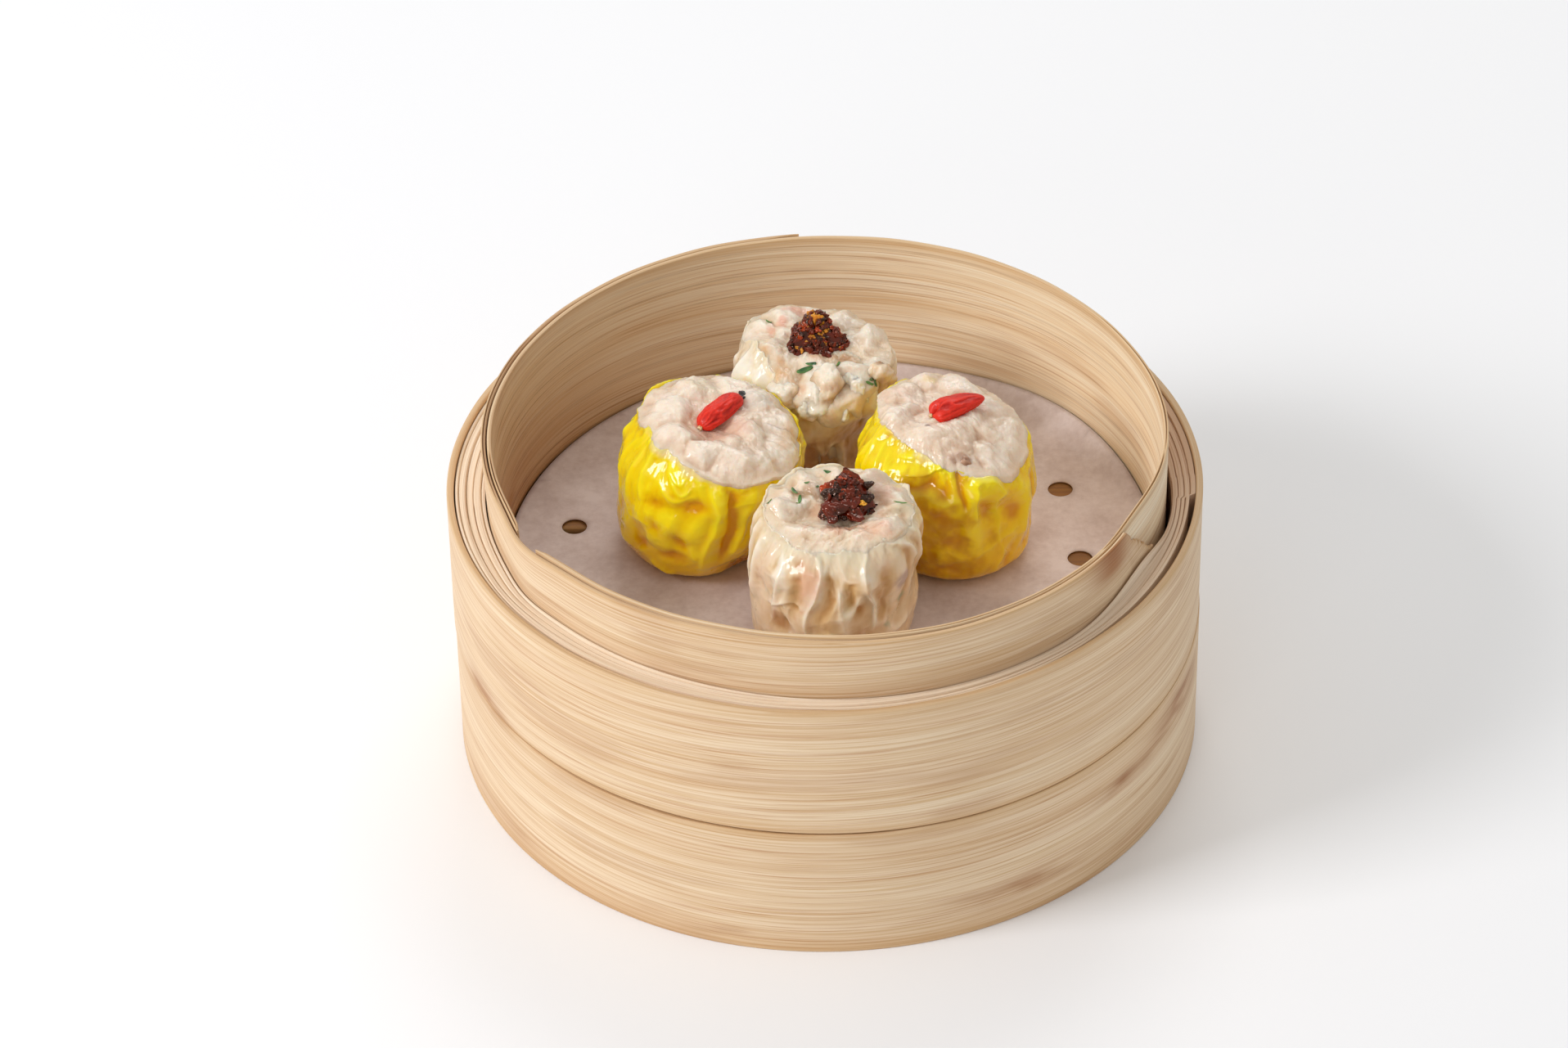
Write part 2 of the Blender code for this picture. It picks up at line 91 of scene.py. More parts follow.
class Slot(Enum):
    """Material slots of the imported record."""

    BAMBOO_OUTER = "bamboo_outer"
    BAMBOO_INNER = "bamboo_inner"
    BAMBOO_FLOOR = "bamboo_floor"
    PAPER = "paper"
    GOLDEN_WRAPPER = "golden_wrapper"
    WHITE_WRAPPER = "white_wrapper"
    FILLING = "filling"
    GOJI = "goji"
    SAUCE = "sauce"


# ---- curves, noise and fields ----------------------------------------
def ease(value: Array, low: float, high: float) -> Array:
    """Smooth step: 3t^2 - 2t^3 with t running from 0 at low to 1 at high."""
    share = np.clip((np.asarray(value, float) - low) / (high - low), 0.0, 1.0)
    return share * share * (3.0 - 2.0 * share)


def swell(turns: Array, middle: float, width: float) -> Array:
    """A bell round the circle: exp(-(d / width)^2), with d the turn from the middle."""
    away = (np.asarray(turns, float) - middle + 180.0) % 360.0 - 180.0
    return np.exp(-(away / width) ** 2)


def around(turns: Array, radius: Array | float, height: Array | float) -> Array:
    """Points at a turn, a radius and a height about the Z axis.

    Args:
        turns: Turn of each point, in degrees.
        radius: Distance from the axis.
        height: Height of each point.

    Returns:
        Points, with x, y and z last.
    """
    angle = np.radians(turns)
    x, y = radius * np.cos(angle), radius * np.sin(angle)
    return np.stack(np.broadcast_arrays(x, y, height), axis=-1)


def smooth_curve(at: Array, stations: Pairs, period: float = 0.0) -> Array:
    """A cubic through (place, value) stations, whose slopes are those of its neighbours.

    Args:
        at: Places to read the curve at.
        stations: Places in rising order, with a value for each.
        period: Length after which the curve repeats, or 0 if it doesn't.

    Returns:
        The values, in the shape of ``at``.
    """
    places = np.array([place for place, _ in stations], float)
    values = np.array([value for _, value in stations], float)
    at = np.asarray(at, float)
    if period:
        at = (at - places[0]) % period + places[0]
        places = np.concatenate([places[-2:] - period, places, places[:2] + period])
        values = np.concatenate([values[-2:], values, values[:2]])
    slopes = np.gradient(values, places)
    left = np.clip(np.searchsorted(places, at, side="right") - 1, 0, len(places) - 2)
    gap = places[left + 1] - places[left]
    share = np.clip((at - places[left]) / gap, 0.0, 1.0)
    square, cube = share ** 2, share ** 3
    return ((2 * cube - 3 * square + 1) * values[left] + (3 * square - 2 * cube) * values[left + 1]
            + gap * ((cube - 2 * square + share) * slopes[left]
                     + (cube - square) * slopes[left + 1]))


class Noise:
    """Smooth random values in space: a random value on each lattice point, eased between."""

    SIZE = 4096

    def __init__(self, seed: int) -> None:
        """Draw the lattice's values, from -1 to 1."""
        self.values = np.random.default_rng(seed).uniform(-1.0, 1.0, self.SIZE)

    def at(self, points: Array, cell: float, layers: int = 1) -> Array:
        """The noise at points, as a sum of layers, each half as large and half as strong.

        Args:
            points: Points, with their three coordinates along the last axis.
            cell: Size of the first layer's lattice cell.
            layers: How many layers are added.

        Returns:
            Values of about -1 to 1, one for each point.
        """
        total = np.zeros(points.shape[:-1])
        for layer in range(layers):
            total += self._layer(points * (2 ** layer / cell) + 17.3 * layer) * 0.5 ** layer
        return total

    def vectors(self, points: Array, apart: float, cell: float, layers: int = 1) -> Array:
        """A vector for each point: the noise at three places set apart from it."""
        return np.stack([self.at(points + apart * k, cell, layers) for k in (1, 2, 3)], axis=-1)

    def _layer(self, places: Array) -> Array:
        """One layer: the eight corners of each place's cell, weighed by eased distance.

        Args:
            places: Points in units of the noise's cells.

        Returns:
            A value for each.
        """
        base = np.floor(places).astype(np.int64)
        part = places - base
        part = part * part * (3.0 - 2.0 * part)
        total = np.zeros(places.shape[:-1])
        for corner in range(8):
            step = np.array([corner & 1, corner >> 1 & 1, corner >> 2 & 1])
            spot = base + step
            index = (spot[..., 0] * 73856093 ^ spot[..., 1] * 19349663
                     ^ spot[..., 2] * 83492791) % self.SIZE
            weight = np.prod(np.where(step, part, 1.0 - part), axis=-1)
            total += weight * self.values[index]
        return total


def soften(field_values: Array, passes: int) -> Array:
    """Average a grid with its neighbours, again and again; its columns close on themselves.

    Args:
        field_values: Rows x columns, closed along the columns.
        passes: How many times each value is mixed with its neighbours.

    Returns:
        The softened values.
    """
    soft = field_values
    for _ in range(passes):
        soft = (np.roll(soft, 1, axis=1) + 2 * soft + np.roll(soft, -1, axis=1)) / 4
        padded = np.concatenate([soft[:1], soft, soft[-1:]])
        soft = (padded[:-2] + 2 * soft + padded[2:]) / 4
    return soft


def grid_normals(grid: Array) -> Array:
    """Unit normals of a rows x columns grid: the cross product of its two directions.

    Args:
        grid: Points as rows x columns x 3.

    Returns:
        A unit normal for each point.
    """
    down = np.gradient(grid, axis=0)
    round_ = np.roll(grid, -1, axis=1) - np.roll(grid, 1, axis=1)
    normal = np.cross(down, round_)
    return normal / np.maximum(np.linalg.norm(normal, axis=-1, keepdims=True), 1e-9)


# ---- meshes ----------------------------------------------------------
def put(name: str, data: bpy.types.ID) -> bpy.types.Object:
    """Put an object in the scene, at the origin.

    Args:
        name: Name of the new object.
        data: Its mesh, camera or light.

    Returns:
        The object.
    """
    made = bpy.data.objects.new(name, data)
    bpy.context.scene.collection.objects.link(made)
    return made


def volume_of(points: Array, triangles: Array) -> float:
    """Signed volume of a closed mesh: a sixth of the sum of its corners' triple products."""
    a, b, c = (points[triangles[:, k]] for k in range(3))
    return float(np.einsum("ij,ij->i", a, np.cross(b, c)).sum() / 6.0)


def make_piece(name: str, points: Array, quads: Array, triangles: Array,
               marks: Marks, crease: float = 0.0) -> bpy.types.Object:
    """An object for a closed mesh, turned so that its faces point outwards.

    Args:
        name: Name of the piece.
        points: Vertices in millimetres.
        quads: Corner indices, four to a face.
        triangles: Corner indices, three to a face.
        marks: Values kept on the vertices, of one, three or four numbers each.
        crease: Angle above which an edge is shaded sharp, or 0 for none.

    Returns:
        The object, at the origin, with its place in its mesh.
    """
    flat = np.concatenate([triangles, quads[:, [0, 1, 2]], quads[:, [0, 2, 3]]])
    if volume_of(points - points.mean(axis=0), flat) < 0:
        quads, triangles = quads[:, ::-1], triangles[:, ::-1]
    corners = np.concatenate([quads.ravel(), triangles.ravel()]).astype(np.int32)
    starts = np.concatenate([np.arange(len(quads)) * 4,
                             len(quads) * 4 + np.arange(len(triangles)) * 3]).astype(np.int32)
    mesh = bpy.data.meshes.new(name)
    mesh.vertices.add(len(points))
    mesh.vertices.foreach_set("co", (points * MM).astype(np.float32).ravel())
    mesh.loops.add(len(corners))
    mesh.loops.foreach_set("vertex_index", corners)
    mesh.polygons.add(len(starts))
    mesh.polygons.foreach_set("loop_start", starts)
    mesh.update(calc_edges=True)
    mesh.shade_smooth()
    if crease:
        mesh.set_sharp_from_angle(angle=math.radians(crease))
    kinds = {1: ("FLOAT", "value"), 3: ("FLOAT_VECTOR", "vector"), 4: ("FLOAT_COLOR", "color")}
    for mark, values in marks.items():
        kind, key = kinds[1 if values.ndim == 1 else values.shape[-1]]
        layer = mesh.attributes.new(mark, kind, "POINT")
        layer.data.foreach_set(key, values.astype(np.float32).ravel())
    return put(name, mesh)


def skin(name: str, grid: Array, marks: Marks | None = None,
         ring: bool = False, crease: float = 0.0) -> bpy.types.Object:
    """A closed skin over a grid whose columns close on themselves.

    A face joins each pair of neighbouring rows and columns. Where the rows don't close too, a fan
    to the mean of the first row closes one end, and one to the mean of the last the other.

    Args:
        name: Name of the piece.
        grid: Points as rows x columns x 3, or items x rows x columns x 3 for many skins.
        marks: Values for the grid's points, in the grid's shape, with or without a last axis.
        ring: Whether the rows close on themselves.
        crease: Angle above which an edge is shaded sharp, or 0 for none.

    Returns:
        The object.
    """
    if grid.ndim == 3:
        grid = grid[None]
        marks = {mark: values[None] for mark, values in (marks or {}).items()}
    marks = marks or {}
    items, rows, columns, _ = grid.shape
    spots = np.arange(items * rows * columns).reshape(items, rows, columns)
    upper = spots if ring else spots[:, :-1]
    lower = np.roll(spots, -1, axis=1) if ring else spots[:, 1:]
    sides = [upper, np.roll(upper, -1, axis=2), np.roll(lower, -1, axis=2), lower]
    quads = np.stack(sides, axis=-1).reshape(-1, 4)
    points = grid.reshape(-1, 3)
    triangles = np.zeros((0, 3), int)
    values_of = {mark: values.reshape(len(points), -1) for mark, values in marks.items()}
    if not ring:
        poles = len(points) + np.arange(2 * items).reshape(2, items, 1)
        first, last = spots[:, 0], spots[:, -1]
        top, foot = (np.broadcast_to(pole, first.shape) for pole in poles)
        fans = [np.stack([top, np.roll(first, -1, 1), first], -1),
                np.stack([foot, last, np.roll(last, -1, 1)], -1)]
        triangles = np.concatenate([fan.reshape(-1, 3) for fan in fans])
        points = np.concatenate([points, grid[:, 0].mean(1), grid[:, -1].mean(1)])
        for mark, values in marks.items():
            ends = [values[:, row].mean(1).reshape(items, -1) for row in (0, -1)]
            values_of[mark] = np.concatenate([values_of[mark], *ends])
    flat = {mark: values[:, 0] if values.shape[1] == 1 else values
            for mark, values in values_of.items()}
    return make_piece(name, points, quads, triangles, flat, crease)


def finish_piece(piece: bpy.types.Object, finish: bpy.types.Material, slot: Slot,
                 *nodes: str) -> bpy.types.Object:
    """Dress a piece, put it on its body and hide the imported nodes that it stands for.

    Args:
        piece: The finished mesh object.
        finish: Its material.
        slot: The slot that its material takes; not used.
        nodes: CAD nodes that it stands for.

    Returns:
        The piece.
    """
    piece.data.materials.append(finish)
    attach(piece, BODY)
    if nodes:
        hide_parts(*nodes)
    LOG.info("%s: %d vertices", piece.name, len(piece.data.vertices))
    return piece


# ---- finishes --------------------------------------------------------
def linear(hex_colour: str) -> tuple[float, float, float, float]:
    """Turn an sRGB hex colour to linear values, with an alpha of 1.

    Args:
        hex_colour: Colour as #RRGGBB.

    Returns:
        Red, green, blue and alpha.
    """
    parts = [int(hex_colour[k:k + 2], 16) / 255.0 for k in (1, 3, 5)]
    red, green, blue = (part / 12.92 if part <= 0.04045 else ((part + 0.055) / 1.055) ** 2.4
                        for part in parts)
    return red, green, blue, 1.0


def feed(node: bpy.types.Node, values: dict) -> None:
    """Set a node's inputs.

    Args:
        node: The node or shader.
        values: A value, or what to link from, for each input by name or number. That is a
            socket, or a node, which stands for its first output in use.
    """
    for key, value in values.items():
        if isinstance(value, bpy.types.Node):
            value = next(socket for socket in value.outputs if socket.enabled)
        if isinstance(value, bpy.types.NodeSocket):
            node.id_data.links.new(value, node.inputs[key])
        else:
            node.inputs[key].default_value = value


def add_node(tree: bpy.types.NodeTree, kind: str, inputs: dict | None = None,
             stops: tuple = (), **settings) -> bpy.types.Node:
    """Add a node with its settings and links.

    Args:
        tree: Node tree of the material.
        kind: Type name of the node, after "ShaderNode".
        inputs: What ``feed`` takes.
        stops: (place, hex colour) stops, where the node is a colour ramp.
        settings: Properties of the node.

    Returns:
        The node.
    """
    node = tree.nodes.new("ShaderNode" + kind)
    for key, value in settings.items():
        setattr(node, key, value)
    feed(node, inputs or {})
    for index, (place, colour) in enumerate(stops):
        points = node.color_ramp.elements
        point = points[index] if index < 2 else points.new(place)
        point.position, point.color = place, linear(colour)
    return node


@dataclass(frozen=True)
class Finish:
    """What one real material looks like."""

    name: str

    def build(self) -> bpy.types.Material:
        """Make the material: a Principled shader with this finish's own nodes."""
        made = bpy.data.materials.new(self.name)
        made.use_nodes = True
        tree = made.node_tree
        feed(tree.nodes["Principled BSDF"], self.dress(partial(add_node, tree)))
        return made

    def dress(self, add: AddNode) -> dict:
        """Add the nodes that give the finish its look.

        Args:
            add: Adds a node to the material.

        Returns:
            What ``feed`` takes, for the shader.
        """
        raise NotImplementedError


@dataclass(frozen=True)
class Bamboo(Finish):
    """Split and planed bamboo: pale fibres along the strip, with brown streaks between them.

    The attribute ``grain`` runs slowly along the strip and by the millimetre across it, so
    plain noise on it is drawn out into fibres. ``rim`` is 1 at the strip's edges. One more
    attribute is 1 where the strip is browner: real stains on all strips, and painted shade on
    the ring's left inside and on the ledge's right side.
    """

    pale: str = "#EFD9BA"
    mid: str = "#D9B88C"
    streak: str = "#B47C44"
    rim_colour: str = "#CBA06A"
    # Multiplied in both for real stains and for painted shade.
    stain_and_shade_colour: str = "#B98A5E"
    streaks: float = 0.55
    blotch: float = 0.35
    hair_colour: str = "#AE6A30"
    hairs: float = 0.38
    roughness: float = 0.52

    def dress(self, add: AddNode) -> dict:
        """Fibres 0.4 mm wide, streaks of 1 mm, hairlines of 0.3 mm where vessels were cut, and
        bands of 7 mm, all along the grain.
        """
        grain = add("Attribute", attribute_name="grain").outputs["Vector"]
        rim = add("Attribute", attribute_name="rim").outputs["Fac"]
        fibre = add("TexNoise", {"Vector": grain, "Scale": 2.4, "Detail": 3.0, "Roughness": 0.6})
        body = add("ValToRGB", {"Fac": fibre}, ((0.30, self.mid), (0.62, self.pale)))
        bands = add("TexNoise", {"Vector": grain, "Scale": 0.14, "Detail": 2.0, "Roughness": 0.5})
        tone = add("MapRange", {"Value": bands, "From Min": 0.35, "From Max": 0.70,
                                "To Max": self.blotch})
        shaded = add("Mix", {MIX_FACTOR: tone, MIX_A: body, MIX_B: linear(self.mid)},
                     data_type="RGBA", blend_type="MULTIPLY")
        lines = add("TexNoise", {"Vector": grain, "Scale": 1.05, "Detail": 5.0,
                                 "Roughness": 0.68})
        line = add("MapRange", {"Value": lines, "From Min": 0.54, "From Max": 0.72,
                                "To Max": self.streaks})
        streaked = add("Mix", {MIX_FACTOR: line, MIX_A: shaded, MIX_B: linear(self.streak)},
                       data_type="RGBA")
        vessels = add("TexNoise", {"Vector": grain, "Scale": 3.4, "Detail": 2.0,
                                   "Roughness": 0.45})
        hair = add("MapRange", {"Value": vessels, "From Min": 0.60, "From Max": 0.66,
                                "To Max": self.hairs})
        haired = add("Mix", {MIX_FACTOR: hair, MIX_A: streaked,
                             MIX_B: linear(self.hair_colour)}, data_type="RGBA")
        worn = add("Math", {0: rim, 1: lines}, operation="MULTIPLY")
        rimmed = add("Mix", {MIX_FACTOR: worn, MIX_A: haired, MIX_B: linear(self.rim_colour)},
                     data_type="RGBA")
        height = add("Math", {0: fibre, 1: line}, operation="SUBTRACT")
        # Darker where stained, and where shade is painted: the ring's left inside and the ledge's
        # right side.
        stain = add("Attribute", attribute_name="stain").outputs["Fac"]
        stained_and_shaded = add("Mix", {MIX_FACTOR: stain, MIX_A: rimmed, MIX_B: linear(self.stain_and_shade_colour)},
                      data_type="RGBA", blend_type="MULTIPLY")
        bump = add("Bump", {"Strength": 0.45, "Distance": 0.00012, "Height": height})
        rough = add("MapRange", {"Value": fibre, "From Min": 0.3, "From Max": 0.7,
                                 "To Min": self.roughness - 0.06,
                                 "To Max": self.roughness + 0.10})
        return {"Base Color": stained_and_shaded, "Roughness": rough, "Normal": bump, "IOR": 1.5,
                "Specular IOR Level": 0.35}


@dataclass(frozen=True)
class GreaseproofPaper(Finish):
    """Thin greaseproof paper: matt and mottled, with the cloudy fibres of pressed pulp."""

    pale: str = "#E8DAD6"
    dull: str = "#D2C0BA"

    def dress(self, add: AddNode) -> dict:
        """Clouds of 9 mm, flecks of 1.5 mm and a grain of 0.4 mm."""
        place = add("TexCoord").outputs["Object"]
        cloud = add("TexNoise", {"Vector": place, "Scale": 110.0, "Detail": 4.0,
                                 "Roughness": 0.6})
        fleck = add("TexNoise", {"Vector": place, "Scale": 700.0, "Detail": 3.0,
                                 "Roughness": 0.6})
        both = add("Mix", {0: 0.35, 2: cloud, 3: fleck}, data_type="FLOAT")
        colour = add("ValToRGB", {"Fac": both}, ((0.36, self.dull), (0.62, self.pale)))
        grain = add("TexNoise", {"Vector": place, "Scale": 2600.0, "Detail": 2.0})
        bump = add("Bump", {"Strength": 0.25, "Distance": 0.00005, "Height": grain})
        return {"Base Color": colour, "Roughness": 0.78, "Normal": bump, "IOR": 1.45,
                "Specular IOR Level": 0.3}


@dataclass(frozen=True)
class Dough(Finish):
    """Steamed dough: a thin wet skin that light gets into, darker in folds and dents, partly its
    own deeper colour and partly painted shade.

    The attribute ``relief`` is 0 in folds and 1 on crests, ``patch`` is the colour of what
    shows through, of the wet edge, and on some dumplings of painted shade, with its strength as
    alpha, and ``low`` runs from 0 at the rim to 1 at the foot, where the colour is darker, partly
    deeper dough and partly painted shade.
    """

    crest: str = "#FFE81C"
    body: str = "#F8D402"
    deep: str = "#DE9E00"
    # Multiplied in towards the foot: darker low down, partly deeper dough and partly painted
    # shade.
    foot: str = "#EFD494"
    scatter: tuple[float, float, float] = (1.0, 0.55, 0.08)
    scatter_share: float = 0.35
    scatter_size: float = 1.4
    roughness: float = 0.30
    coat: float = 0.85
    shine: float = 0.15
    tint: str = "#FFE470"
    speckle: float = 0.05

    def dress(self, add: AddNode) -> dict:
        """Colour by depth of fold and towards the foot, partly painted shade, clouds of 5 mm, and
        a pebbled skin of 0.5 mm.
        """
        place = add("TexCoord").outputs["Object"]
        relief = add("Attribute", attribute_name="relief").outputs["Fac"]
        low = add("Attribute", attribute_name="low").outputs["Fac"]
        patch = add("Attribute", attribute_name="patch")
        # Folds and dents take the deep colour, partly the dough's own and partly painted shade.
        tone_and_shade_by_depth = add("ValToRGB", {"Fac": relief},
                       ((0.08, self.deep), (0.86, self.crest), (0.42, self.body)))
        # Darker towards the foot, partly painted shade.
        deeper_and_shaded_towards_foot = add("Mix", {MIX_FACTOR: low, MIX_A: tone_and_shade_by_depth, MIX_B: linear(self.foot)},
                        data_type="RGBA", blend_type="MULTIPLY")
        cloud = add("TexNoise", {"Vector": place, "Scale": 220.0, "Detail": 4.0,
                                 "Roughness": 0.6})
        mottle = add("MapRange", {"Value": cloud, "From Min": 0.35, "From Max": 0.7,
                                  "To Max": self.speckle})
        mottled = add("Mix", {MIX_FACTOR: mottle, MIX_A: deeper_and_shaded_towards_foot, MIX_B: linear(self.deep)},
                      data_type="RGBA")
        patched = add("Mix", {MIX_FACTOR: patch.outputs["Alpha"], MIX_A: mottled,
                              MIX_B: patch.outputs["Color"]}, data_type="RGBA")
        pebble = add("TexNoise", {"Vector": place, "Scale": 700.0, "Detail": 3.0,
                                  "Roughness": 0.5})
        bump = add("Bump", {"Strength": 0.25, "Distance": 0.0001, "Height": pebble})
        wet = add("MapRange", {"Value": cloud, "From Min": 0.3, "From Max": 0.7,
                               "To Min": self.roughness - 0.10, "To Max": self.roughness + 0.14})
        return {"Base Color": patched, "Roughness": wet, "Normal": bump, "IOR": 1.42,
                "Coat Weight": self.coat, "Coat Roughness": 0.09, "Coat IOR": 1.5,
                "Specular IOR Level": self.shine, "Specular Tint": linear(self.tint),
                "Subsurface Weight": self.scatter_share, "Subsurface Radius": self.scatter,
                "Subsurface Scale": self.scatter_size * MM}


@dataclass(frozen=True)
class Mince(Finish):
    """Steamed mince: soft pale lumps, pinker and darker between them, partly painted shade, with
    a film of juice.

    ``relief`` is 0 between lumps and 1 on them, ``patch`` is the colour of bits and stains, and
    of painted shade in the left golden one's hollow, with their strength as alpha, and ``oil`` is
    1 where the surface is greasy.
    """

    pale: str = "#F9E7D2"
    body: str = "#EAD0B4"
    deep: str = "#C4926E"
    scatter_size: float = 3.0
    roughness: float = 0.36

    def dress(self, add: AddNode) -> dict:
        """Colour by depth, partly painted shade between lumps, clouds of 4 mm and a crumb of 0.6
        mm.
        """
        place = add("TexCoord").outputs["Object"]
        relief = add("Attribute", attribute_name="relief").outputs["Fac"]
        oil = add("Attribute", attribute_name="oil").outputs["Fac"]
        patch = add("Attribute", attribute_name="patch")
        # The deep colour between lumps is partly the mince's own and partly painted shade.
        tone_and_shade_by_depth = add("ValToRGB", {"Fac": relief},
                       ((0.10, self.deep), (0.80, self.pale), (0.45, self.body)))
        cloud = add("TexNoise", {"Vector": place, "Scale": 260.0, "Detail": 5.0,
                                 "Roughness": 0.65})
        mottle = add("MapRange", {"Value": cloud, "From Min": 0.42, "From Max": 0.72,
                                  "To Max": 0.24})
        mottled = add("Mix", {MIX_FACTOR: mottle, MIX_A: tone_and_shade_by_depth, MIX_B: linear(self.deep)},
                      data_type="RGBA")
        patched = add("Mix", {MIX_FACTOR: patch.outputs["Alpha"], MIX_A: mottled,
                              MIX_B: patch.outputs["Color"]}, data_type="RGBA")
        crumb = add("TexNoise", {"Vector": place, "Scale": 1300.0, "Detail": 5.0,
                                 "Roughness": 0.65})
        bump = add("Bump", {"Strength": 0.8, "Distance": 0.00028, "Height": crumb})
        gloss = add("MapRange", {"Value": oil, "To Min": self.roughness, "To Max": 0.14})
        return {"Base Color": patched, "Roughness": gloss, "Normal": bump, "IOR": 1.40,
                "Coat Weight": 0.6, "Coat Roughness": 0.09, "Coat IOR": 1.45,
                "Subsurface Weight": 0.5, "Subsurface Radius": (1.0, 0.6, 0.4),
                "Subsurface Scale": self.scatter_size * MM}


@dataclass(frozen=True)
class WetBit(Finish):
    """A small wet thing: a berry, a bit of sauce, a seed or a leaf, with colour to its depth.

    ``relief`` is 0 in its wrinkles and 1 on their crests; the wrinkles take the deep colour,
    partly the thing's own and partly painted shade.
    """

    crest: str = "#E23A2A"
    deep: str = "#8E1410"
    grain_size: float = 0.5
    roughness: float = 0.32
    coat: float = 0.4
    shine: float = 0.5
    tint: str = "#FFFFFF"
    scatter_share: float = 0.2
    scatter: tuple[float, float, float] = (1.0, 0.25, 0.12)

    def dress(self, add: AddNode) -> dict:
        """Colour by depth of wrinkle, partly painted shade, and by noise of the grain's size."""
        place = add("TexCoord").outputs["Object"]
        relief = add("Attribute", attribute_name="relief").outputs["Fac"]
        noise = add("TexNoise", {"Vector": place, "Scale": 1.0 / (self.grain_size * MM) / 2.0,
                                 "Detail": 4.0, "Roughness": 0.6})
        both = add("Mix", {0: 0.5, 2: relief, 3: noise}, data_type="FLOAT")
        colour = add("ValToRGB", {"Fac": both}, ((0.25, self.deep), (0.68, self.crest)))
        bump = add("Bump", {"Strength": 0.5, "Distance": 0.00015, "Height": noise})
        return {"Base Color": colour, "Roughness": self.roughness, "Normal": bump, "IOR": 1.45,
                "Coat Weight": self.coat, "Coat Roughness": 0.05,
                "Specular IOR Level": self.shine, "Specular Tint": linear(self.tint),
                "Subsurface Weight": self.scatter_share, "Subsurface Radius": self.scatter,
                "Subsurface Scale": 1.0 * MM}


@dataclass(frozen=True)
class StudioFloor(Finish):
    """Plain matt white board for the basket to stand on."""

    colour: str = "#FBFBFB"

    def dress(self, add: AddNode) -> dict:
        """One even colour: it isn't part of the object."""
        return {"Base Color": linear(self.colour), "Roughness": 0.9, "Specular IOR Level": 0.0}


class Finishes:
    """Every finish of the object, made once."""

    def __init__(self) -> None:
        """Make the materials."""
        self.bamboo_skin = Bamboo("planed_bamboo_strip").build()
        self.bamboo_ring = Bamboo("planed_bamboo_ring", pale="#FBEDD2", mid="#EBD0A8",
                                  streak="#A67A4A", streaks=0.7, blotch=0.5).build()
        self.bamboo_edge = Bamboo("bamboo_strip_edges", pale="#F8E8D2", mid="#ECD6B8",
                                  streak="#B89470", streaks=0.5, blotch=0.3,
                                  roughness=0.7).build()
        # Dark brown for the slats and battens, which lie in shadow under the paper: painted shade.
        self.bamboo_slat_shaded = Bamboo("split_bamboo_slat_shaded", pale="#A07038", mid="#825426",
                                  streak="#6E4622", roughness=0.6).build()
        self.paper = GreaseproofPaper("greaseproof_paper").build()
        self.golden = Dough("steamed_egg_dough").build()
        self.white = Dough("steamed_wheat_dough", crest="#FFF1DE", body="#E9CFA8",
                           deep="#C4945C", foot="#F6EBDA", scatter=(1.0, 0.7, 0.45),
                           scatter_share=0.5, scatter_size=1.2, roughness=0.34, coat=0.6,
                           shine=0.3, tint="#FFFFFF", speckle=0.12).build()
        self.pork = Mince("steamed_pork_mince").build()
        self.shrimp = Mince("steamed_shrimp_mince", pale="#FAE9D3", body="#E9CEAC",
                            deep="#BE926A").build()
        self.goji = WetBit("dried_goji_berry", crest="#E5321F", deep="#B3170E",
                           grain_size=0.35, roughness=0.42, coat=0.08, shine=0.3,
                           scatter_share=0.3).build()
        self.goji_tip = WetBit("goji_stalk_scar", crest="#E9CF9A", deep="#B98A4A",
                               scatter_share=0.1).build()
        wet = {"roughness": 0.2, "coat": 0.5, "shine": 0.5, "tint": "#FFA468"}
        self.sauces = {
            "paste": WetBit("fried_chilli_paste", crest="#641A06", deep="#1A0603",
                            scatter_share=0.05, **wet).build(),
            "burnt": WetBit("burnt_chilli_bit", crest="#26100A", deep="#0A0403",
                            scatter_share=0.0, **wet).build(),
            "flake": WetBit("fried_chilli_flake", crest="#A8380C", deep="#4A1204",
                            scatter_share=0.3, **wet).build(),
            "skin": WetBit("fried_chilli_skin", crest="#8E3616", deep="#4E180A",
                           scatter_share=0.3, **wet).build(),
            "oil": WetBit("chilli_oil_drop", crest="#6A1A06", deep="#2C0A03", grain_size=2.0,
                          roughness=0.10, coat=0.7, tint="#FFA468", scatter_share=0.3).build(),
            "garlic": WetBit("fried_garlic_bit", crest="#DE942F", deep="#97521A",
                             scatter_share=0.3, **wet).build(),
            "seed": WetBit("chilli_seed", crest="#F0AE3A", deep="#D07F22",
                           scatter_share=0.3, **wet).build()}
        self.herb = WetBit("chopped_green_herb", crest="#5E8A3C", deep="#1F4A1E",
                           roughness=0.35, scatter_share=0.2,
                           scatter=(0.4, 1.0, 0.3)).build()
        self.mushroom = WetBit("chopped_mushroom", crest="#C79E80", deep="#8E6448",
                               scatter_share=0.4, scatter=(1.0, 0.6, 0.4)).build()
        self.peppercorn = WetBit("dark_speck", crest="#3A332C", deep="#15120F",
                                 scatter_share=0.0).build()


# ---- basket: bent strips ---------------------------------------------
GRAIN_STRETCH = 0.009       # how slowly the grain runs along a strip, against across it


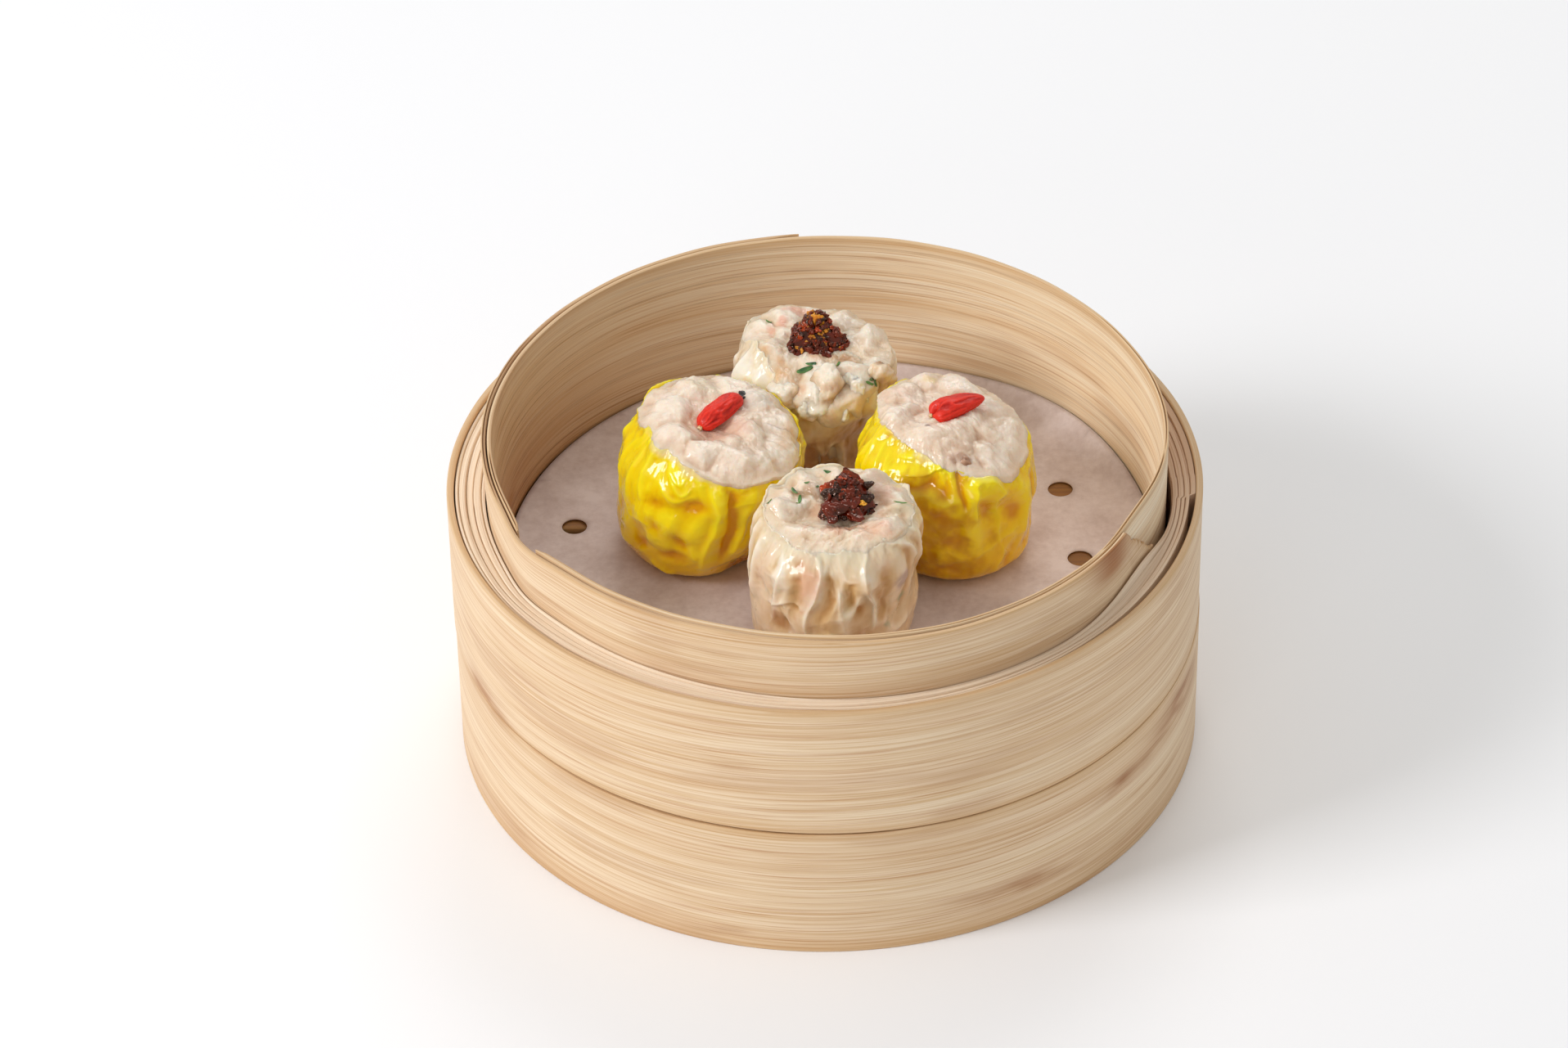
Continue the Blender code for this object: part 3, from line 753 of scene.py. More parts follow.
@dataclass
class BentStrip:
    """A strip of bamboo bent round a circle: a rounded rectangle carried along an arc.

    A point of the section has a share across the wall, 0 inside to 1 outside, and a share up
    it. ``wall`` says where those two shares are at each turn of the arc.
    """

    name: str
    inner: float
    outer: float
    low: float
    top: float
    centre: tuple[float, float] = (0.0, 0.0)
    start: float = 0.0
    sweep: float = 360.0
    steps: int = 480
    corner: float = 0.35
    side_points: int = 26
    top_points: int = 8
    seed: int = 1

    def section(self) -> tuple[Array, Array]:
        """The rounded rectangle, as shares across and up the wall.

        It runs up the outside, over the top, down the inside and under the foot. Each corner is
        a quarter circle of the corner's radius.

        Returns:
            The shares across and up, one pair for each point of the loop.
        """
        width, height = self.outer - self.inner, self.top - self.low
        soft = min(self.corner, 0.45 * width, 0.45 * height)
        quarter = np.radians(np.linspace(0.0, 90.0, 5))
        side = np.linspace(0.0, height - 2 * soft, self.side_points)[1:-1] + soft
        flat = np.linspace(0.0, width - 2 * soft, self.top_points)[1:-1] + soft
        bend_x, bend_z = soft * (1 - np.cos(quarter)), soft * (1 - np.sin(quarter))
        across = np.concatenate([np.full(len(side), width), width - bend_x, flat[::-1],
                                 bend_x[::-1], np.zeros(len(side)), bend_x, flat,
                                 width - bend_x[::-1]])
        up = np.concatenate([side, height - bend_z, np.full(len(flat), height),
                             height - bend_z[::-1], side[::-1], bend_z, np.zeros(len(flat)),
                             bend_z[::-1]])
        return across / width, up / height

    def wall(self, turns: Array, across: Array, up: Array) -> Array:
        """Place the section at every turn: on a circle, with a slightly uneven top edge.

        Args:
            turns: Turns of the stations, as a column.
            across: Shares across the wall, as a row.
            up: Shares up the wall, as a row.

        Returns:
            Points as stations x section x 3.
        """
        radius = self.inner + across * (self.outer - self.inner) + 0 * turns
        height = self.low + up * (self.top + self.waver(turns) - self.low)
        return self.round_point(turns, radius, height)

    def waver(self, turns: Array) -> Array:
        """How far the top edge strays round the hoop: two slow waves and a fine one.

        Args:
            turns: Turn of each point, in degrees.

        Returns:
            Millimetres for each.
        """
        return (0.14 * np.sin(np.radians(2 * turns + 40 * self.seed))
                + 0.08 * np.sin(np.radians(5 * turns + 70 * self.seed))
                + 0.04 * np.sin(np.radians(23 * turns + 11 * self.seed)) - 0.2)

    def round_point(self, turns: Array, radius: Array, height: Array) -> Array:
        """Points at a turn, radius and height about the strip's own centre."""
        return around(turns, radius, height) + (*self.centre, 0.0)

    def build(self, finish: bpy.types.Material, slot: Slot, *nodes: str) -> bpy.types.Object:
        """Carry the section round, mark its grain and dress it.

        Args:
            finish: The strip's material.
            slot: The slot that it takes.
            nodes: CAD nodes that it stands for.

        Returns:
            The piece.
        """
        across, up = (share[None, :] for share in self.section())
        ring = self.sweep >= 360.0
        turns = self.start + np.linspace(0.0, self.sweep, self.steps + 1)[:, None]
        if ring:
            turns = turns[:-1]
        grid = self.wall(turns, across, up)
        marks = self.marks(grid, turns, across, up)
        return finish_piece(skin(self.name, grid, marks, ring=ring, crease=50.0), finish, slot,
                            *nodes)

    def marks(self, grid: Array, turns: Array, across: Array, up: Array) -> Marks:
        """The grain and how near each point is to the strip's edges.

        The grain is the place round the hoop, drawn out along it, then the distance up the
        wall, with the faces set apart and a slow drift, because fibres don't run quite true.

        Args:
            grid: Points of the skin.
            turns: Turn of each point.
            across: 0 inside to 1 outside.
            up: 0 at the foot to 1 at the top.

        Returns:
            Values for each point by the attribute's name.
        """
        drift = (1.1 * np.sin(np.radians(turns + 60 * self.seed))
                 + 0.5 * np.sin(np.radians(3 * turns + 25 * self.seed)))
        apart = np.where(across > 0.5, 0.0, 40.0) + 3.0 * across
        run = grid[..., 2] + drift + apart + 91.7 * self.seed
        grain = np.stack([grid[..., 0] * GRAIN_STRETCH, grid[..., 1] * GRAIN_STRETCH, run], -1)
        from_edge = np.minimum(up, 1.0 - up) * (self.top - self.low)
        rim = np.broadcast_to(np.exp(-(from_edge / 1.6) ** 2), grid.shape[:-1])
        clouds = Noise(self.seed + 17).at(grid * (0.16, 0.16, 1.0), 5.0, 3)
        return {"grain": grain, "rim": rim, "stain": 0.2 * ease(clouds, 0.3, 0.9)}


@dataclass
class OuterBand(BentStrip):
    """An outer band of the wall, whose ends lap at the back in a long thin scarf."""

    lap: float = 100.0
    # Stains are turn, height, arc, tallness and strength.
    stains: tuple[tuple[float, ...], ...] = (
        (339, 25.0, 8.0, 4.0, 0.7), (321, 21.0, 7.0, 2.4, 0.5),
        (300, 8.0, 12.0, 3.0, 0.3), (205, 33.0, 9.0, 3.5, 0.4))
    lap_arc: float = 17.0
    lap_step: float = 0.45

    def wall(self, turns: Array, across: Array, up: Array) -> Array:
        """The plain wall, thinned outside as a ramp that ends in a step at the lap."""
        before = (self.lap + 0.12 * (up - 0.5) * (self.top - self.low) - turns) % 360.0
        ramp = np.clip(1.0 - before / self.lap_arc, 0.0, 1.0)
        width = self.outer - self.inner - self.lap_step * ramp
        sway = 0.12 * np.sin(np.radians(3 * turns + 50 * self.seed)) - 0.12
        radius = self.inner + across * width + sway
        height = self.low + up * (self.top + self.waver(turns) - self.low)
        return self.round_point(turns, radius, height)

    def marks(self, grid: Array, turns: Array, across: Array, up: Array) -> Marks:
        """As any strip, with the named stains: bells round the band and up it."""
        found = super().marks(grid, turns, across, up)
        ragged = 1.0 + 0.8 * Noise(61).at(grid * (0.3, 0.3, 1.0), 2.5, 3)
        for turn, height, arc, tall, strength in self.stains:
            bell = swell(turns, turn, arc) * np.exp(-((grid[..., 2] - height) / tall) ** 2)
            found["stain"] = np.clip(found["stain"] + strength * bell * ragged, 0.0, 1.0)
        return found


# ---- basket: the raised ring and the ledge round it ------------------
RING_SWELLS = (              # turn, width in degrees, and how far the ring's top stands out there
    (172.0, 75.0, 1.35), (211.0, 7.0, 1.5), (250.0, 18.0, -0.7), (290.0, 18.0, 0.5),
    (334.0, 10.0, -1.2), (5.0, 14.0, 0.3))
STRIP_END_TURN = 208.0       # the inner strip ends here ...
STRIP_START_TURN = 214.0     # ... and its other end starts here
WRAP_START_TURN = 95.0
WRAP_TOP_TURN = 328.0        # the outer strip's end slants from here at the rim ...
WRAP_LOW_TURN = 341.0        # ... to here at the ledge


def ring_inside(turns: Array, height: Array) -> Array:
    """Inside radius of the raised ring: round at its foot, and out of true towards its rim.

    Args:
        turns: Turn of each point, in degrees.
        height: Height of each point.

    Returns:
        Radius from the ring's centre.
    """
    stray = sum(amount * swell(turns, middle, width) for middle, width, amount in RING_SWELLS)
    share = np.clip((height - HOOP_FOOT) / (RING_TOP - HOOP_FOOT), 0.0, 1.0)
    return RING_INNER + stray * share ** 1.2


@dataclass
class RingStrip(BentStrip):
    """A strip of the raised ring. It follows the ring's line, and its rim is split in places.

    ``splits`` are (first turn, last turn, share across, depth) of the slits in its top edge.
    """

    splits: tuple[tuple[float, float, float, float], ...] = ()
    taper: float = 2.0

    def wall(self, turns: Array, across: Array, up: Array) -> Array:
        """Follow the ring's line, thin out at the strip's ends and open the splits."""
        rim = self.rim_height(turns)
        height = self.low + up * (rim - self.low)
        ends = ease(np.minimum(turns - self.start, self.start + self.sweep - turns),
                    0.0, self.taper)
        width = (self.outer - self.inner) * (0.35 + 0.65 * ends)
        offset = self.inner - RING_INNER + (self.outer - self.inner - width)
        radius = ring_inside(turns, height) + offset + across * width
        for first, last, place, depth in self.splits:
            middle, half = (first + last) / 2, (last - first) / 2
            along = np.clip(1.0 - ((turns - middle) / half) ** 2, 0.0, 1.0)
            slit = np.exp(-((across - place) / 0.09) ** 2) * ease(up, 0.93, 0.99)
            height = height - depth * along * slit
        return self.round_point(turns, radius, height)

    def marks(self, grid: Array, turns: Array, across: Array, up: Array) -> Marks:
        """As any strip, with painted shade: darker and browner inside the left wall, most low
        down.
        """
        found = super().marks(grid, turns, across, up)
        # Painted shade on the inside face of the left wall, stronger towards its foot.
        low = 1.0 - 0.5 * ease(grid[..., 2], HOOP_FOOT + 4.0, RING_TOP)
        side = 0.8 * swell(turns, 178.0, 52.0) * low * (across < 0.5)
        found["stain"] = np.minimum(found["stain"] + side, 1.0)
        return found

    def rim_height(self, turns: Array) -> Array:
        """Height of the top edge."""
        return self.top + self.waver(turns)


@dataclass
class RingWrap(RingStrip):
    """The outer strip of the ring, whose end is cut on a slant and torn."""

    def rim_height(self, turns: Array) -> Array:
        """Level, then down along the slant, which is ragged where fibres pulled out.

        Args:
            turns: Turn of each point, in degrees.

        Returns:
            Height of the strip's top edge.
        """
        noise = Noise(31)
        spots = np.stack([turns * 2.2, 0 * turns, 0 * turns], axis=-1)
        share = (turns - WRAP_TOP_TURN) / (WRAP_LOW_TURN - WRAP_TOP_TURN)
        down = (self.top - LEDGE_TOP + 1.5) * np.clip(share, 0.0, 1.0) ** 0.9
        torn = 0.9 * noise.at(spots, 1.0, 2) * ease(share, 0.02, 0.2)
        return np.minimum(self.top + self.waver(turns), self.top - down + torn)

    def marks(self, grid: Array, turns: Array, across: Array, up: Array) -> Marks:
        """As any strip, with its slanted end marked as an edge."""
        found = super().marks(grid, turns, across, up)
        below = self.rim_height(turns) - grid[..., 2]
        torn = np.exp(-(below / 1.2) ** 2) * ease(turns, WRAP_TOP_TURN - 2, WRAP_TOP_TURN + 2)
        found["rim"] = np.maximum(found["rim"], torn)
        soiled = 0.9 * swell(turns, WRAP_TOP_TURN - 5.0, 6.0) * (across > 0.5)
        found["stain"] = np.maximum(found["stain"], soiled * ease(below, 9.0, 5.0))
        return found


@dataclass
class Ledge(BentStrip):
    """The strips wound between the ring and the outer bands, whose edges make the ledge."""

    strips: int = 4
    split_start: float = 354.0
    split_arc: float = 95.0
    split_width: float = 1.2
    rise_turn: float = 331.0

    def inner_radius(self, turns: Array) -> Array:
        """Close on the ring, and past the wrap's end a gap that closes again.

        Args:
            turns: Turn of each point, in degrees.

        Returns:
            Radius from the ring's centre.
        """
        ring = ring_inside(turns, LEDGE_TOP) + STRIP + PLAY
        level = turns % 360.0
        opened = ease(level, WRAP_START_TURN - 15.0, WRAP_START_TURN - 1.0)
        since = (level - WRAP_LOW_TURN) % 360.0
        closed = ease(since, 0.0, 32.0) * (since < 32.0) + (since >= 32.0) * (since < 90.0)
        return ring + (STRIP + PLAY) * np.where(since < 100.0, 1.0 - closed, opened)

    def outer_radius(self, turns: Array) -> Array:
        """Against the outer band, with a gap behind the band that starts at a strip's end.

        Args:
            turns: Turn of each point, in degrees.

        Returns:
            Radius from the basket's centre.
        """
        back = (self.split_start - turns) % 360.0
        gap = np.where(back < self.split_arc, 1.0 - back / self.split_arc, 0.0)
        return self.outer - self.split_width * gap

    def wall(self, turns: Array, across: Array, up: Array) -> Array:
        """From the ring's circle to the band's, with strip edges standing at uneven heights."""
        inner, outer = self.inner_radius(turns), self.outer_radius(turns)
        near = around(turns, inner, 0.0)[..., :2] + RING_CENTRE
        far = around(turns, outer, 0.0)[..., :2]
        flat = near + across[..., None] * (far - near)
        place = across * self.strips + 0.9 * (turns / 360.0)
        index = np.floor(place)
        level = (0.20 * np.sin(np.radians(2 * turns) + 2.1 * index)
                 + 0.12 * np.sin(np.radians(5 * turns) + 4.0 * index) - 0.3)
        from_joint = np.abs(place - np.round(place)) * (outer - inner) / self.strips
        groove = -0.6 * np.exp(-(from_joint / 0.10) ** 2)
        rise = 3.2 * swell(turns, self.rise_turn, 11.0) * (1.0 - ease(across, 0.15, 0.6))
        top = self.top + level + groove + rise
        height = self.low + up * (top - self.low)
        return np.concatenate([flat, height[..., None]], axis=-1)

    def marks(self, grid: Array, turns: Array, across: Array, up: Array) -> Marks:
        """The grain of strips seen on edge: fibres by the distance across the wall; the right side
        darker as painted shade.
        """
        width = self.outer - self.inner
        run = across * width + up * 9.0 + 0.8 * np.sin(np.radians(turns)) + 700.0
        run = np.broadcast_to(run, grid.shape[:-1])
        grain = np.stack([grid[..., 0] * GRAIN_STRETCH, grid[..., 1] * GRAIN_STRETCH, run], -1)
        # Painted shade: the ledge darker and browner round a turn of 14 degrees, on its right
        # side.
        stain = np.broadcast_to(0.65 * swell(turns, 14.0, 34.0), grid.shape[:-1])
        return {"grain": grain, "rim": np.zeros(grid.shape[:-1]), "stain": stain}


@dataclass
class Slat:
    """A split-bamboo slat, whose two ends follow the round of the wall."""

    name: str
    middle: float
    width: float
    low: float
    top: float
    reach: float
    along_x: bool = True
    square: bool = False
    seed: int = 1

    def build(self, finish: bpy.types.Material, node: str) -> bpy.types.Object:
        """Carry a rounded, slightly crowned section along the slat.

        At a share t from end to end, a point is at t times the half chord of the wall's circle
        there. A slat with square ends has the shortest half chord of its width throughout.

        Args:
            finish: The slat's material.
            node: The CAD node that it stands for.

        Returns:
            The piece.
        """
        angle = np.radians(np.arange(0.0, 360.0, 10.0))
        shape = np.stack([np.sign(np.cos(angle)) * np.abs(np.cos(angle)) ** 0.25,
                          np.sign(np.sin(angle)) * np.abs(np.sin(angle)) ** 0.25], -1)
        side = shape[:, 0] * self.width / 2
        farthest = np.full_like(side, abs(self.middle) + self.width / 2)
        offset = farthest if self.square else self.middle + side
        half = np.sqrt(np.maximum(self.reach ** 2 - offset ** 2, 1.0))
        share = np.linspace(-1.0, 1.0, 60)[:, None]
        along = share * half[None, :]
        crown = 0.25 * (1 - shape[:, 0] ** 2) * (shape[:, 1] > 0)
        centre = (self.low + self.top) / 2
        sag = 0.12 * np.sin(3.0 * share + self.seed)
        height = centre + (shape[:, 1] * (self.top - self.low) / 2 + crown - 0.25)[None] + sag
        height = np.minimum(height, self.top)
        cross = np.broadcast_to(self.middle + side, along.shape)
        flat = (along, cross) if self.along_x else (cross, along)
        grid = np.stack([flat[0] + RING_CENTRE[0], flat[1] + RING_CENTRE[1], height], axis=-1)
        grain = np.stack([along * GRAIN_STRETCH, shape[None, :, 1] * 2.0 + 0 * along,
                          cross + 53.0 * self.seed], axis=-1)
        rim = np.broadcast_to(np.abs(shape[:, 0]) ** 8, along.shape)
        piece = skin(self.name, grid, {"grain": grain, "rim": rim})
        return finish_piece(piece, finish, Slot.BAMBOO_FLOOR, node)


@dataclass
class Liner:
    """A round sheet of paper with a ring of punched holes.

    Inside is a disc of rings. Outside are equal sectors, each with one hole, where a point goes
    from the hole's edge to the sector's edge in even steps.
    """

    x: float = 1.3
    y: float = -1.7
    radius: float = 69.35
    middle: float = 43.62
    thick: float = 0.25
    holes: int = 14
    hole_radius: float = 2.7
    circle: float = 54.8
    circle_x: float = 0.4
    circle_y: float = 2.4
    turn: float = -7.0
    strays: tuple[tuple[int, float, float], ...] = ((1, -1.4, 0.2), (0, -0.7, 0.0), (6, 4.4, 3.0))
    disc_radius: float = 40.0
    side_steps: int = 14
    rings: int = 10

    def sector(self) -> Array:
        """Points of every sector, as holes x steps out x places round x 2."""
        step = 360.0 / self.holes
        steps = np.arange(self.side_steps) / self.side_steps
        ones = np.ones(self.side_steps)
        # Round the sector's edge: out along one side, round the rim, back in, and round the disc.
        out = np.concatenate([steps, ones, 1 - steps, 0 * ones])
        aside = np.concatenate([-ones, 2 * steps - 1, ones, 1 - 2 * steps]) * step / 2
        turns = self.turn + np.arange(self.holes)[:, None] * step
        rim = self.rim_from_circle(np.radians(turns + aside))
        edge_radius = self.disc_radius + out * (rim - self.disc_radius)
        edge = self.about_circle(turns + aside, edge_radius)
        centre = self.about_circle(turns, self.circle)
        for hole, off_x, off_y in self.strays:
            centre[hole, 0] += (off_x, off_y)
        way = edge - centre
        hole = centre + self.hole_radius * way / np.linalg.norm(way, axis=-1, keepdims=True)
        share = np.linspace(0.0, 1.0, self.rings)[None, :, None, None]
        return hole[:, None] + share * (edge - hole)[:, None]

    def about_circle(self, turns: Array, radius: Array | float) -> Array:
        """Points x and y at a turn and radius about the hole circle's centre."""
        return around(turns, radius, 0.0)[..., :2] + (self.circle_x, self.circle_y)

    def rim_from_circle(self, angle: Array) -> Array:
        """Distance from the hole circle's centre to the sheet's rim, along an angle.

        Args:
            angle: Angle of each line, in radians.

        Returns:
            Millimetres for each.
        """
        off_x, off_y = self.circle_x - self.x, self.circle_y - self.y
        along = off_x * np.cos(angle) + off_y * np.sin(angle)
        return -along + np.sqrt(along ** 2 - off_x ** 2 - off_y ** 2 + self.radius ** 2)

    def build(self, finish: bpy.types.Material) -> bpy.types.Object:
        """Join the disc and the sectors, let the sheet lie unevenly and give it thickness.

        Args:
            finish: The paper's material.

        Returns:
            The piece.
        """
        flat = self.sector()
        holes, rings, places, _ = flat.shape
        spots = np.arange(holes * rings * places).reshape(holes, rings, places)
        turned = np.roll(spots, -1, axis=2)
        quads = np.stack([spots[:, :-1], turned[:, :-1], turned[:, 1:], spots[:, 1:]], -1)
        sector_points = flat.reshape(-1, 2)
        count = self.holes * self.side_steps
        first = self.turn - 180.0 / self.holes
        disc_radius = np.linspace(1.0, 0.08, 22)[:, None] * self.disc_radius
        disc = self.about_circle(first + np.arange(count) * 360.0 / count, disc_radius)
        base = len(sector_points)
        rows = base + np.arange(disc.shape[0] * count).reshape(disc.shape[0], count)
        beside = np.roll(rows, -1, axis=1)
        disc_quads = np.stack([rows[:-1], beside[:-1], beside[1:], rows[1:]], -1)
        pole = base + rows.size
        fan = np.stack([np.full(count, pole), rows[-1], beside[-1]], -1)
        points = np.concatenate([sector_points, disc.reshape(-1, 2),
                                 [[self.circle_x, self.circle_y]]])
        quads = np.concatenate([self.face_up(points, quads.reshape(-1, 4)),
                                self.face_up(points, disc_quads.reshape(-1, 4))])
        fan = self.face_up(points, fan)
        height = self.lie(points)
        whole = np.concatenate([points, height[:, None]], axis=-1)
        mesh = bpy.data.meshes.new("paper_sheet")
        faces = [*quads.tolist(), *fan.tolist()]
        mesh.from_pydata((whole * MM).tolist(), [], faces)
        piece = put("paper_sheet", mesh)
        weld = piece.modifiers.new("weld", "WELD")
        weld.merge_threshold = 0.01 * MM
        wall = piece.modifiers.new("thickness", "SOLIDIFY")
        wall.thickness = self.thick * MM
        wall.offset = 0.0
        mesh.shade_smooth()
        return finish_piece(piece, finish, Slot.PAPER, "paper_liner")

    @staticmethod
    def face_up(points: Array, faces: Array) -> Array:
        """Turn round each face whose first three corners run clockwise.

        Args:
            points: x and y of each point.
            faces: Point numbers of each face.

        Returns:
            The faces, each one anticlockwise from above.
        """
        first, second = (points[faces[:, k]] - points[faces[:, 0]] for k in (1, 2))
        clockwise = first[:, 0] * second[:, 1] < first[:, 1] * second[:, 0]
        return np.where(clockwise[:, None], faces[:, ::-1], faces)

    def lie(self, points: Array) -> Array:
        """Height of the sheet: a gentle cockle, and an edge that rides up the wall on one side.

        Args:
            points: x and y of each point.

        Returns:
            Height of the sheet's middle at each.
        """
        noise = Noise(5)
        spots = np.concatenate([points, np.zeros((len(points), 1))], axis=1)
        far = np.hypot(points[:, 0] - self.x, points[:, 1] - self.y) / self.radius
        turns = np.degrees(np.arctan2(points[:, 1] - self.y, points[:, 0] - self.x))
        curl = 0.5 + 3.0 * swell(turns, 41.0, 22.0) + 0.8 * swell(turns, 88.0, 26.0)
        curl = curl * ease(far, 0.90, 1.0) ** 1.5
        return self.middle + 0.10 * noise.at(spots, 22.0, 2) + curl


@dataclass
class Basket:
    """The steamer basket: two outer bands, the ledge, the raised ring and the floor."""

    finishes: Finishes
    slats: int = 7
    slat_pitch: float = 19.7
    slat_width: float = 17.4
    batten_x: float = 31.0

    def build(self) -> None:
        """Build every strip and slat of the basket."""
        looks = self.finishes
        outer, inner = Slot.BAMBOO_OUTER, Slot.BAMBOO_INNER
        OuterBand("band_lower", 78.5, 80.0, 0.0, 31.95, corner=0.3, side_points=40,
                  seed=2).build(looks.bamboo_skin, outer, "outer_band_lower")
        OuterBand("band_upper", 78.5, 80.0, 32.05, 63.9, corner=0.4, side_points=40, lap=82.0,
                  seed=5).build(looks.bamboo_skin, outer, "outer_band_upper")
        Ledge("ledge_strips", 71.0, 78.2, 0.0, LEDGE_TOP, corner=0.1, side_points=10,
              top_points=64, steps=520, seed=3).build(looks.bamboo_edge, inner, "ledge_hoop")
        RingStrip("ring_strip_inner", RING_INNER, RING_INNER + STRIP, HOOP_FOOT, RING_TOP,
                  RING_CENTRE, start=STRIP_START_TURN,
                  sweep=360.0 - STRIP_START_TURN + STRIP_END_TURN, steps=620, corner=0.25,
                  top_points=18, splits=((545, 568, 0.55, 1.6), (268, 322, 0.6, 0.9),
                                         (322, 352, 0.45, 2.6), (352, 395, 0.5, 1.2)),
                  seed=7).build(looks.bamboo_ring, inner, "ring_lamina")
        RingWrap("ring_strip_outer", RING_INNER + STRIP + PLAY, RING_INNER + 2 * STRIP + PLAY,
                 HOOP_FOOT, RING_TOP - 0.2, RING_CENTRE, start=WRAP_START_TURN,
                 sweep=WRAP_LOW_TURN - WRAP_START_TURN, steps=620, corner=0.25, top_points=14,
                 taper=6.0, splits=((150, 200, 0.5, 1.0),),
                 seed=4).build(looks.bamboo_skin, outer, "ring_wrap")
        BentStrip("support_strip", 67.9, 70.7, 15.0, 39.7, RING_CENTRE, corner=0.4, steps=240,
                  seed=6).build(looks.bamboo_ring, inner, "support_hoop")
        self.build_floor()

    def build_floor(self) -> None:
        """Slats across, and two battens under them."""
        finish = self.finishes.bamboo_slat_shaded
        for index in range(self.slats):
            middle = (index - (self.slats - 1) / 2) * self.slat_pitch
            Slat(f"bamboo_slat_shaded_{index + 1}", middle, self.slat_width, 40.0, FLOOR_STRIP_TOP,
                 RING_INNER + STRIP - PLAY, seed=index + 1
                 ).build(finish, f"floor_slat_{index + 1}")
        for index, side in enumerate((-1.0, 1.0)):
            Slat(f"bamboo_batten_{index + 1}", side * self.batten_x, 8.0, 36.7, 39.7, 67.6,
                 along_x=False, square=True, seed=index + 11
                 ).build(finish, f"floor_batten_{index + 1}")


# ---- dumplings -------------------------------------------------------
STATION_SHARES = (0.0, 0.055, 0.20, 0.42, 0.64, 0.86, 1.0)     # of its height, for its radii
COLUMNS = 400               # points round a wrapper or a filling
CUP_ROWS = 118              # and rows of them up a wrapper's outside
TOP_ROWS, TURN_ROWS, BASE_ROWS = 84, 15, 5      # over a filling's top, its shoulder and its base


@dataclass(frozen=True)
class Fold:
    """A ridge or crease along a line on a wrapper.

    Across the line its height is h * exp(-(d / width)^sharp), with one side steeper than the
    other if it leans, and it fades out towards the line's two ends.
    """

    path: Pairs       # turn and height of points along the line
    height: float
    width: float
    sharp: float = 1.4
    lean: float = 0.0

    def relief(self, turns: Array, heights: Array, radius: float) -> Array:
        """Height of the fold at every point of a grid.

        Args:
            turns: Turn of each grid point.
            heights: Height of each grid point.
            radius: Radius that turns degrees to millimetres round the dumpling.

        Returns:
            Millimetres to push out, in the grid's shape.
        """
        count = len(self.path) - 1
        steps = np.linspace(0.0, count, 6 * count + 1)
        stations = [tuple((k, point[axis]) for k, point in enumerate(self.path))
                    for axis in (0, 1)]
        middle = self.path[len(self.path) // 2][0]
        scale = math.radians(1.0) * radius
        line_x = (smooth_curve(steps, stations[0]) - middle) * scale
        line_z = smooth_curve(steps, stations[1])
        across = ((turns - middle + 180.0) % 360.0 - 180.0) * scale
        reach = 3.0 * self.width * (1.0 + abs(self.lean))
        near = ((across > line_x.min() - reach) & (across < line_x.max() + reach)
                & (heights > line_z.min() - reach) & (heights < line_z.max() + reach))
        x, z = across[near][:, None], heights[near][:, None]
        step_x, step_z = np.diff(line_x)[None], np.diff(line_z)[None]
        from_x, from_z = x - line_x[None, :-1], z - line_z[None, :-1]
        part = np.clip((from_x * step_x + from_z * step_z)
                       / (step_x ** 2 + step_z ** 2 + 1e-9), 0.0, 1.0)
        gap = np.hypot(from_x - part * step_x, from_z - part * step_z)
        best = np.argmin(gap, axis=1)
        rows = np.arange(len(best))
        side = np.sign(step_x[0, best] * from_z[rows, best] - step_z[0, best] * from_x[rows, best])
        share = (best + part[rows, best]) / (len(steps) - 1)
        width = self.width * (1.0 + self.lean * side)
        shape = np.exp(-(gap[rows, best] / width) ** self.sharp)
        fade = ease(share, -0.05, 0.22) * ease(1.0 - share, -0.05, 0.22)
        found = np.zeros(np.shape(across))
        found[near] = self.height * shape * fade
        return found


@dataclass(frozen=True)
class Bulge:
    """A soft swelling of a wrapper, or a dent: push * exp(-(dx / width)^2 - (dz / tall)^2)."""

    turn: float
    up: float
    width: float
    tall: float
    push: float

    def relief(self, turns: Array, heights: Array, radius: float) -> Array:
        """Millimetres to push out at every point of a grid.

        Args:
            turns: Turn of each point, in degrees.
            heights: Height of each point.
            radius: Mean radius of the body.

        Returns:
            Millimetres for each.
        """
        across = ((turns - self.turn + 180.0) % 360.0 - 180.0) * math.radians(radius)
        return self.push * np.exp(-(across / self.width) ** 2
                                  - ((heights - self.up) / self.tall) ** 2)


@dataclass(frozen=True)
class Lump:
    """A soft lump of filling: height h * (1 - (d / size)^2) out from the surface."""

    x: float                # from the middle of the rim
    y: float
    size: float
    height: float


@dataclass(frozen=True)
class Patch:
    """A spot that changes the colour: something under the surface or on it, and on some dumplings
    painted shade.

    On a wrapper, at and up are its turn and height. On a filling they are x and y from the
    middle of the rim.
    """

    at: float
    up: float
    width: float
    height: float
    colour: str
    strength: float = 0.6


def lay_over(painted: Array, colour: str, cover: Array) -> None:
    """Lay a colour over painted ones, which hold their strength as alpha: plain alpha over.

    Args:
        painted: Colours with their strength, changed in place.
        colour: The colour to lay.
        cover: Its strength at each point.
    """
    below = painted[..., 3] * (1.0 - cover)
    painted[..., 3] = below + cover
    share = (cover / np.maximum(painted[..., 3], 1e-6))[..., None]
    painted[..., :3] += share * (np.array(linear(colour)[:3]) - painted[..., :3])


